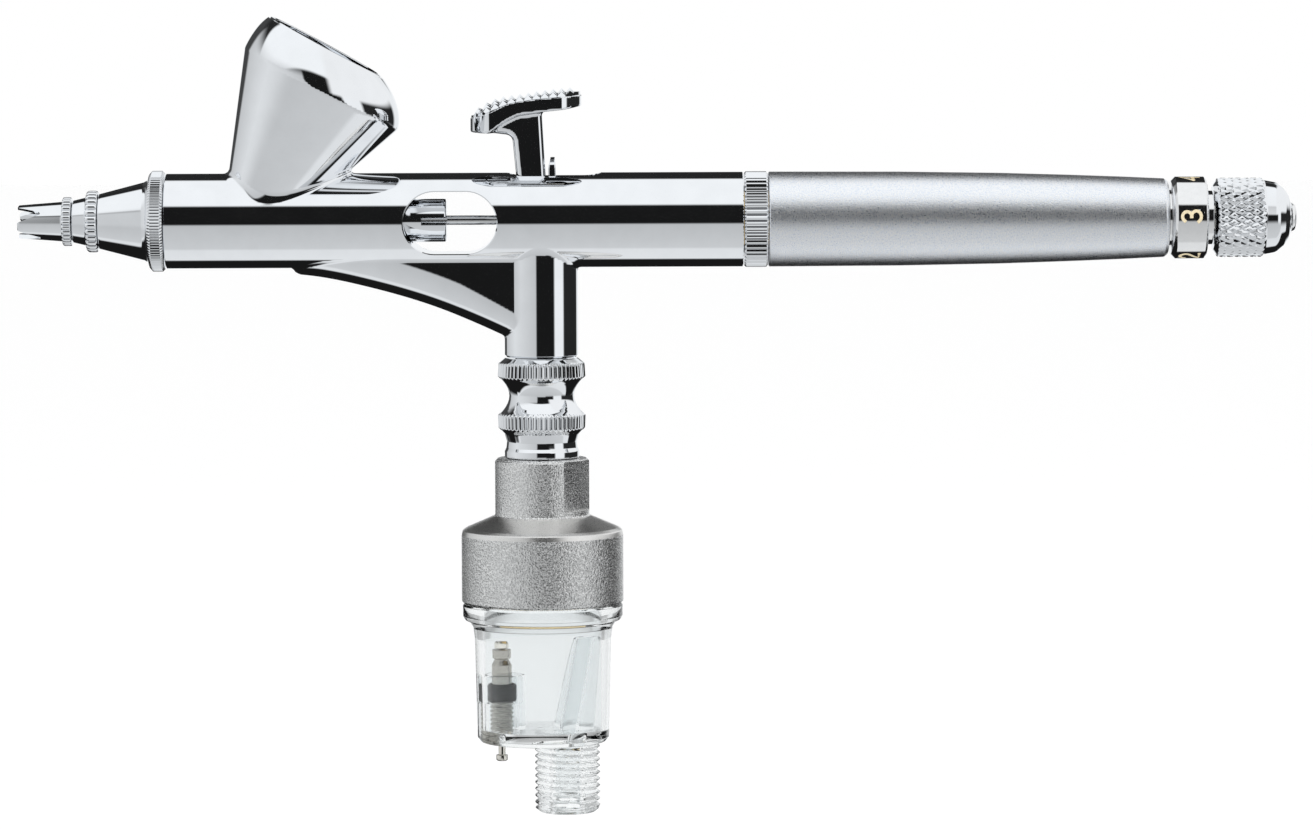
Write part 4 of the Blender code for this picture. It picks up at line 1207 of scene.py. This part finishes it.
def lever_field(points):
    """The trigger's pad, stem and foot with their fillets."""
    x, y, z = points.T
    top = smooth_curve(PAD_TOP, x, 0.5) + TREAD_RAISE
    under = smooth_curve(PAD_UNDER, x, 0.35)
    # The factors turn heights over a sloping pad into distances from it.
    slab = meet_round((under - z) * 0.85, pad_plan(x, y), PAD_EDGE_R)
    slab = np.maximum(slab, (z - top) * 0.93)
    front, rear, half = (smooth_curve(STEM, z, 0.8, column) for column in (1, 2, 3))
    side = np.maximum(np.abs(x - (front + rear) / 2) - (rear - front) / 2, z - STEM_TOP)
    side = np.maximum(side, PIVOT_Z - z)
    gusset_under = 12.0 + (x + 7.0) * -0.12
    gusset = np.maximum(np.maximum(gusset_under - z, z - top + 0.3),
                        np.maximum(-7.2 - x, x + 2.0))
    stem = meet_round(unite_round(side, gusset, GUSSET_FILLET), np.abs(y) - half, STEM_EDGE_R)
    foot = meet_round(np.hypot(x, z - PIVOT_Z) - FOOT_R, np.abs(y) - FOOT_HALF_WIDTH, 0.15)
    return unite_round(unite_round(stem, slab, PAD_FILLET), foot, FOOT_FILLET)


def make_tread():
    """The pad's diamond-cut tread, as a block over the pad trimmed to its plan."""
    half = TREAD_PITCH / 2
    xs = [PAD_TOP[0][0] - 0.6 + half * k for k in range(int(17.0 / half))]
    ys = [half * (k - 9) for k in range(19)]
    verts = []
    for i, x in enumerate(xs):
        edge = smooth_curve(PAD_TOP, x, 0.5) + TREAD_RAISE
        crown = smooth_curve(TREAD_MIDDLE, x, 0.5) - edge
        fade = within(x, PAD_TOP[0][0] + 0.5, PAD_TOP[-1][0] - 0.9, 0.5)
        for j, y in enumerate(ys):
            level = edge + crown * max(1 - (y / PAD_HALF_WIDTH) ** 2, 0)
            peak = TREAD_HEIGHT if (i % 2 and j % 2) else 0.0
            peak *= within(abs(y), -1.0, PAD_HALF_WIDTH - 1.1, 0.4)
            verts.append((x, y, level + 0.02 + peak * fade))
    rows = len(ys)
    count = len(verts)
    verts += [(x, y, smooth_curve(PAD_TOP, x, 0.5) - 0.6) for x, y, _ in verts]
    faces = []
    for i in range(len(xs) - 1):
        for j in range(rows - 1):
            a, b = i * rows + j, (i + 1) * rows + j
            c, d = b + 1, a + 1
            if (i + j) % 2:
                faces += [(a, b, d), (b, c, d)]
            else:
                faces += [(a, b, c), (a, c, d)]
            faces.append((a + count, d + count, c + count, b + count))
    last = len(xs) - 1
    sides = [(i * rows + j, (i + 1) * rows + j) for i in range(last) for j in (0, rows - 1)]
    sides += [(i * rows + j, i * rows + j + 1) for j in range(rows - 1) for i in (0, last)]
    faces += [(a, b, b + count, a + count) for a, b in sides]
    tread = mesh_object("tread", verts, faces, 10.0)
    plan = []
    radius = PAD_END_R - TREAD_INSET
    reach = math.asin(PAD_HALF_WIDTH / PAD_END_R)
    for centre, way in ((PAD_TOP[-1][0] - PAD_END_R, 1), (PAD_TOP[0][0] + PAD_END_R, -1)):
        for k in range(33):
            turn = reach * (k / 16 - 1)
            plan.append((centre + way * radius * math.cos(turn),
                         way * radius * math.sin(turn)))
    return combine(tread, [prism("plan", plan, 10.0, 20.0)], "INTERSECT", 10.0)


# Height, front face and rear face of the auxiliary lever.
PUSH_LEVER = ((-5.2, 3.0, 3.8), (-3.0, 2.95, 3.8), (-1.5, 2.5, 3.3), (0.0, 1.95, 2.8),
              (3.0, 1.6, 2.4), (6.0, 1.05, 2.08), (7.4, 1.05, 2.05), (8.6, 1.45, 1.95))


def make_levers():
    lever = field_object("main_lever_shell", lever_field, (-10.6, -5.4, -9.0),
                         (6.6, 5.4, 18.2), LEVER_CELL)
    unite(lever, make_tread())
    slot = obround((-1.5, 4.9), 0.0, 1.0)
    cut(lever, prism("slot", slot, -6.0, 4.0, lengthways))
    set_field_normals(lever, lever_field, 0.03, 25.0)
    finish_piece(lever, "trigger", "chrome", "main_lever")

    sections = []
    foot_z, tip_z = PUSH_LEVER[0][0], PUSH_LEVER[-1][0]
    for k in range(29):
        z = foot_z + (tip_z - foot_z) * k / 28
        front, rear = (float(smooth_curve(PUSH_LEVER, z, 0.6, column)) for column in (1, 2))
        tip = max(0.0, (z - 7.2) / 1.4)
        half = 1.6 * math.sqrt(max(1 - min(tip, 0.98) ** 2, 0.0))
        section = rounded([(front, -half), (rear, -half), (rear, half), (front, half)],
                          min(0.15, half * 0.4), True)
        sections.append([(x, y, z) for x, y in section])
    lever = loft("auxiliary_lever_shell", sections)
    unite(lever, lathe("foot", rounded([(-1.6, 0), (-1.6, 0.6), (1.6, 0.6), (1.6, 0)], 0.1),
                       along_y, 48, PUSH_PIVOT))
    cut(lever, prism("slot", obround((-1.9, 1.9), 0.0, 1.0), 0.0, 5.0, lengthways))
    finish_piece(lever, "push_lever", "chrome", "auxiliary_lever")


# ---- moisture filter

FLATS_GAP = 11.0
FLATS_TURN = math.radians(-30.0)
STUB_X = 3.31
STUB_R = 4.5
HOSE_PITCH = 0.907
DRAIN = (-5.72, 0.0)


def make_filter_head():
    outline = rounded([
        (-32.7, 4.9), (-32.7, 6.1, 0.2), (-33.1, 6.47, 0.2), (-40.55, 6.47, 0.35),
        (-42.25, 10.4, 0.5), (-42.6, 10.95, 0.3), (-43.3, 11.12, 0.4), (-52.35, 11.12, 0.15),
        (-52.6, 10.85, 0.1), (-52.6, 9.95), (-45.3, 9.95), (-44.6, 8.5), (-44.6, 2.0),
        (-39.6, 2.0), (-39.6, 4.9)], 0.05, True, 6)
    head = lathe("filter_head_shell", finer(outline, 0.8), along_z, 192)
    out = np.array([math.cos(FLATS_TURN), math.sin(FLATS_TURN), 0])
    across = np.array([-math.sin(FLATS_TURN), math.cos(FLATS_TURN), 0])
    for way in (-1, 1):
        cut(head, prism("flat", ((-7, -39.8), (7, -39.8), (7, -32.9), (-7, -32.9)),
                        FLATS_GAP / 2, 9.0,
                        lambda u, v, w: out * way * w + across * u + np.array([0, 0, v])))
    finish_piece(head, "airframe", "blasted_aluminium", "filter_head")
    # The shoulder is smoother than the rest.
    head.data.materials.append(CONE)
    for face in head.data.polygons:
        x, y, z = np.array(face.center) / MM
        if -43.1 < z < -40.6 and math.hypot(x, y) > 6.4:
            face.material_index = 1


def make_bowl():
    outline = rounded([
        (-47.0, 8.1, 0.1), (-47.0, 9.7, 0.1), (-52.72, 9.7), (-52.72, 10.8, 0.08),
        (-52.95, 11.0, 0.2), (-54.4, 11.0, 0.3), (-54.9, 10.75, 0.3), (-55.2, 10.1, 0.4),
        (-56.0, 9.6, 0.6), (-57.5, 9.4, 3.0), (-71.2, 9.07, 0.3), (-71.8, 8.6, 0.3),
        (-71.8, 0), (-70.0, 0), (-70.0, 8.1, 0.8)], 0.05, False, 5)
    bowl = lathe("filter_bowl_shell", finer(outline, 1.2), along_z, 160)
    boss = lathe("boss", rounded([(-62.5, 0), (-62.5, 3.2, 0.3), (-71.0, 3.3), (-71.0, 0)]),
                 along_z, 64, DRAIN)
    riser = loft("riser", [circle(x, 0.0, z, radius, 64) for x, z, radius in
                           ((4.0, -71.0, 2.9), (4.9, -65.0, 2.5), (6.1, -57.3, 1.95),
                            (6.14, -57.0, 1.6))])
    for shape in (boss, riser):
        limit = lathe("limit", [(-47.5, 0), (-47.5, 8.6), (-71.0, 8.6), (-71.0, 0)],
                      along_z, 96)
        combine(shape, [limit], "INTERSECT")
        unite(bowl, shape)
    outline = rounded([(-71.0, 0), (-71.0, STUB_R), (BOWL_BOTTOM + 0.6, STUB_R, 0.2),
                       (BOWL_BOTTOM, STUB_R - 0.8, 0.5), (BOWL_BOTTOM, 0)], 0.05)
    stub = lathe("stub", finer(outline, 0.11), along_z, 128, (STUB_X, 0.0),
                 relief=thread(HOSE_PITCH, 0.42, BOWL_BOTTOM + 0.9, -72.3, 0.5))
    unite(bowl, stub)
    inlet = [(BOWL_BOTTOM - 1, 0), (BOWL_BOTTOM - 1, 1.9), (-72.5, 1.9), (-71.5, 1.2),
             (-71.5, 0)]
    cut(bowl, lathe("inlet", inlet, along_z, 64, (STUB_X, 0.0)))
    cut(bowl, loft("riser_bore", [circle(STUB_X, 0.0, -72.2, 1.0, 48),
                                  circle(6.1, 0.0, -56.0, 1.0, 48)]))
    cut(bowl, bore("drain_bore", ((-61, 2.2), (-66.45, 1.8)), -73, along_z, 64, DRAIN))
    finish_piece(bowl, "airframe", "clear_plastic", "filter_bowl")


def make_drain():
    outline = rounded([
        (-59.0, 0.62), (-59.0, 1.3, 0.1), (-60.2, 1.3, 0.1), (-60.45, 1.0, 0.1), (-61.2, 1.4),
        (-66.35, 1.4), (-66.35, 1.65), (-71.95, 1.65, 0.1), (-71.95, 0.68), (-71.45, 0.68),
        (-71.45, 1.18), (-65.8, 1.18), (-65.8, 0.62)], 0.05, True)
    turned("drain_valve_core", outline, "airframe", "nickel", 0.1, along_z, 64,
           "drain_valve", DRAIN_METAL, centre=DRAIN,
           relief=thread(0.6, 0.2, -71.6, -66.6, 0.3))
    outline = rounded([
        (-57.6, 0), (-57.6, 0.8, 0.1), (-58.0, 1.0, 0.1), (-58.85, 1.0), (-58.85, 0.48),
        (-70.85, 0.48), (-70.85, 1.02), (-71.3, 1.02), (-71.3, 0.48), (-73.75, 0.48),
        (-73.75, 0.8, 0.1), (-74.45, 0.8, 0.15), (-74.6, 0.6), (-74.6, 0)], 0.05)
    turned("drain_pin", outline, "drain", "nickel", 0.0, along_z, 48, centre=DRAIN)
    outline = rounded([(-63.9, 1.52), (-63.9, 1.95), (-64.1, 2.05, 0.2), (-66.0, 2.05, 0.2),
                       (-66.2, 1.95), (-66.2, 1.52)], 0.1, True)
    turned("drain_seal", outline, "airframe", "rubber", 0.0, along_z, centre=DRAIN)


# ---- springs

COIL_STEPS = 32
WIRE_SIDES = 12


def coil(name, start, end, radius, wire, turns, place, centre=(0.0, 0.0)):
    """A compression spring with closed end turns."""
    steps = turns * COIL_STEPS
    sections = []
    for k in range(steps + 1):
        part = k / steps
        turn = TURN * turns * part
        ends = 1.0 / turns
        rise = np.interp(part, [0, ends, 1 - ends, 1], [0, ends * 0.4, 1 - ends * 0.4, 1])
        middle = start + wire + (end - start - 2 * wire) * rise
        ring = []
        for s in range(WIRE_SIDES):
            angle = TURN * s / WIRE_SIDES
            r = radius + wire * math.cos(angle)
            ring.append(place(np.array(middle + wire * math.sin(angle)),
                              np.array(centre[0] + r * math.cos(turn)),
                              np.array(centre[1] + r * math.sin(turn))))
        sections.append(ring)
    return loft(name, sections, 60.0)


def make_springs():
    """Builds each spring's coil and gives it its own mesh."""
    for node, joint, place, span, radius, wire, turns, keep, centre in (
            ("needle_spring", "needle_travel", along_x, (17.15, 42.45), 2.4, 0.3, 12, 0.881,
             (0.0, 0.0)),
            ("valve_spring", "trigger_press", along_z, (-33.2, -23.05), 1.9, 0.25, 7, 0.754,
             (0.0, 0.0)),
            ("drain_spring", "drain_press", along_z, (-70.7, -65.95), 0.83, 0.12, 6, 0.747,
             DRAIN)):
        made = coil(node + "_wire", *span, radius, wire, turns, place, centre)
        finish_piece(made, "airframe", "steel", node, made=SPRING)
        fixed = span[0] if node == "valve_spring" else span[1]
        axis = tuple(int(n) for n in place(1, 0, 0))
        tuple(n * MM for n in place(fixed, *centre))
        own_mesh(made)


# ---- put it together

make_body()
make_head()
make_packing()
make_air_valve()
make_tail()
make_knob()
make_levers()
make_filter_head()
make_bowl()
make_drain()
make_springs()
make_stage()
make_world()
make_light("overhead", (-120, -220, 420), 420, 0.5)
make_light("front_fill", (180, -520, 60), 380, 0.3)
make_camera()
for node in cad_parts.values():
    slot_name = next((m.name for m in node.data.materials if m), "")
    made = next((m for key, m in SLOT_MATERIALS.items() if slot_name.startswith(key)), STEEL)
    node.data.materials.clear()
    node.data.materials.append(made)
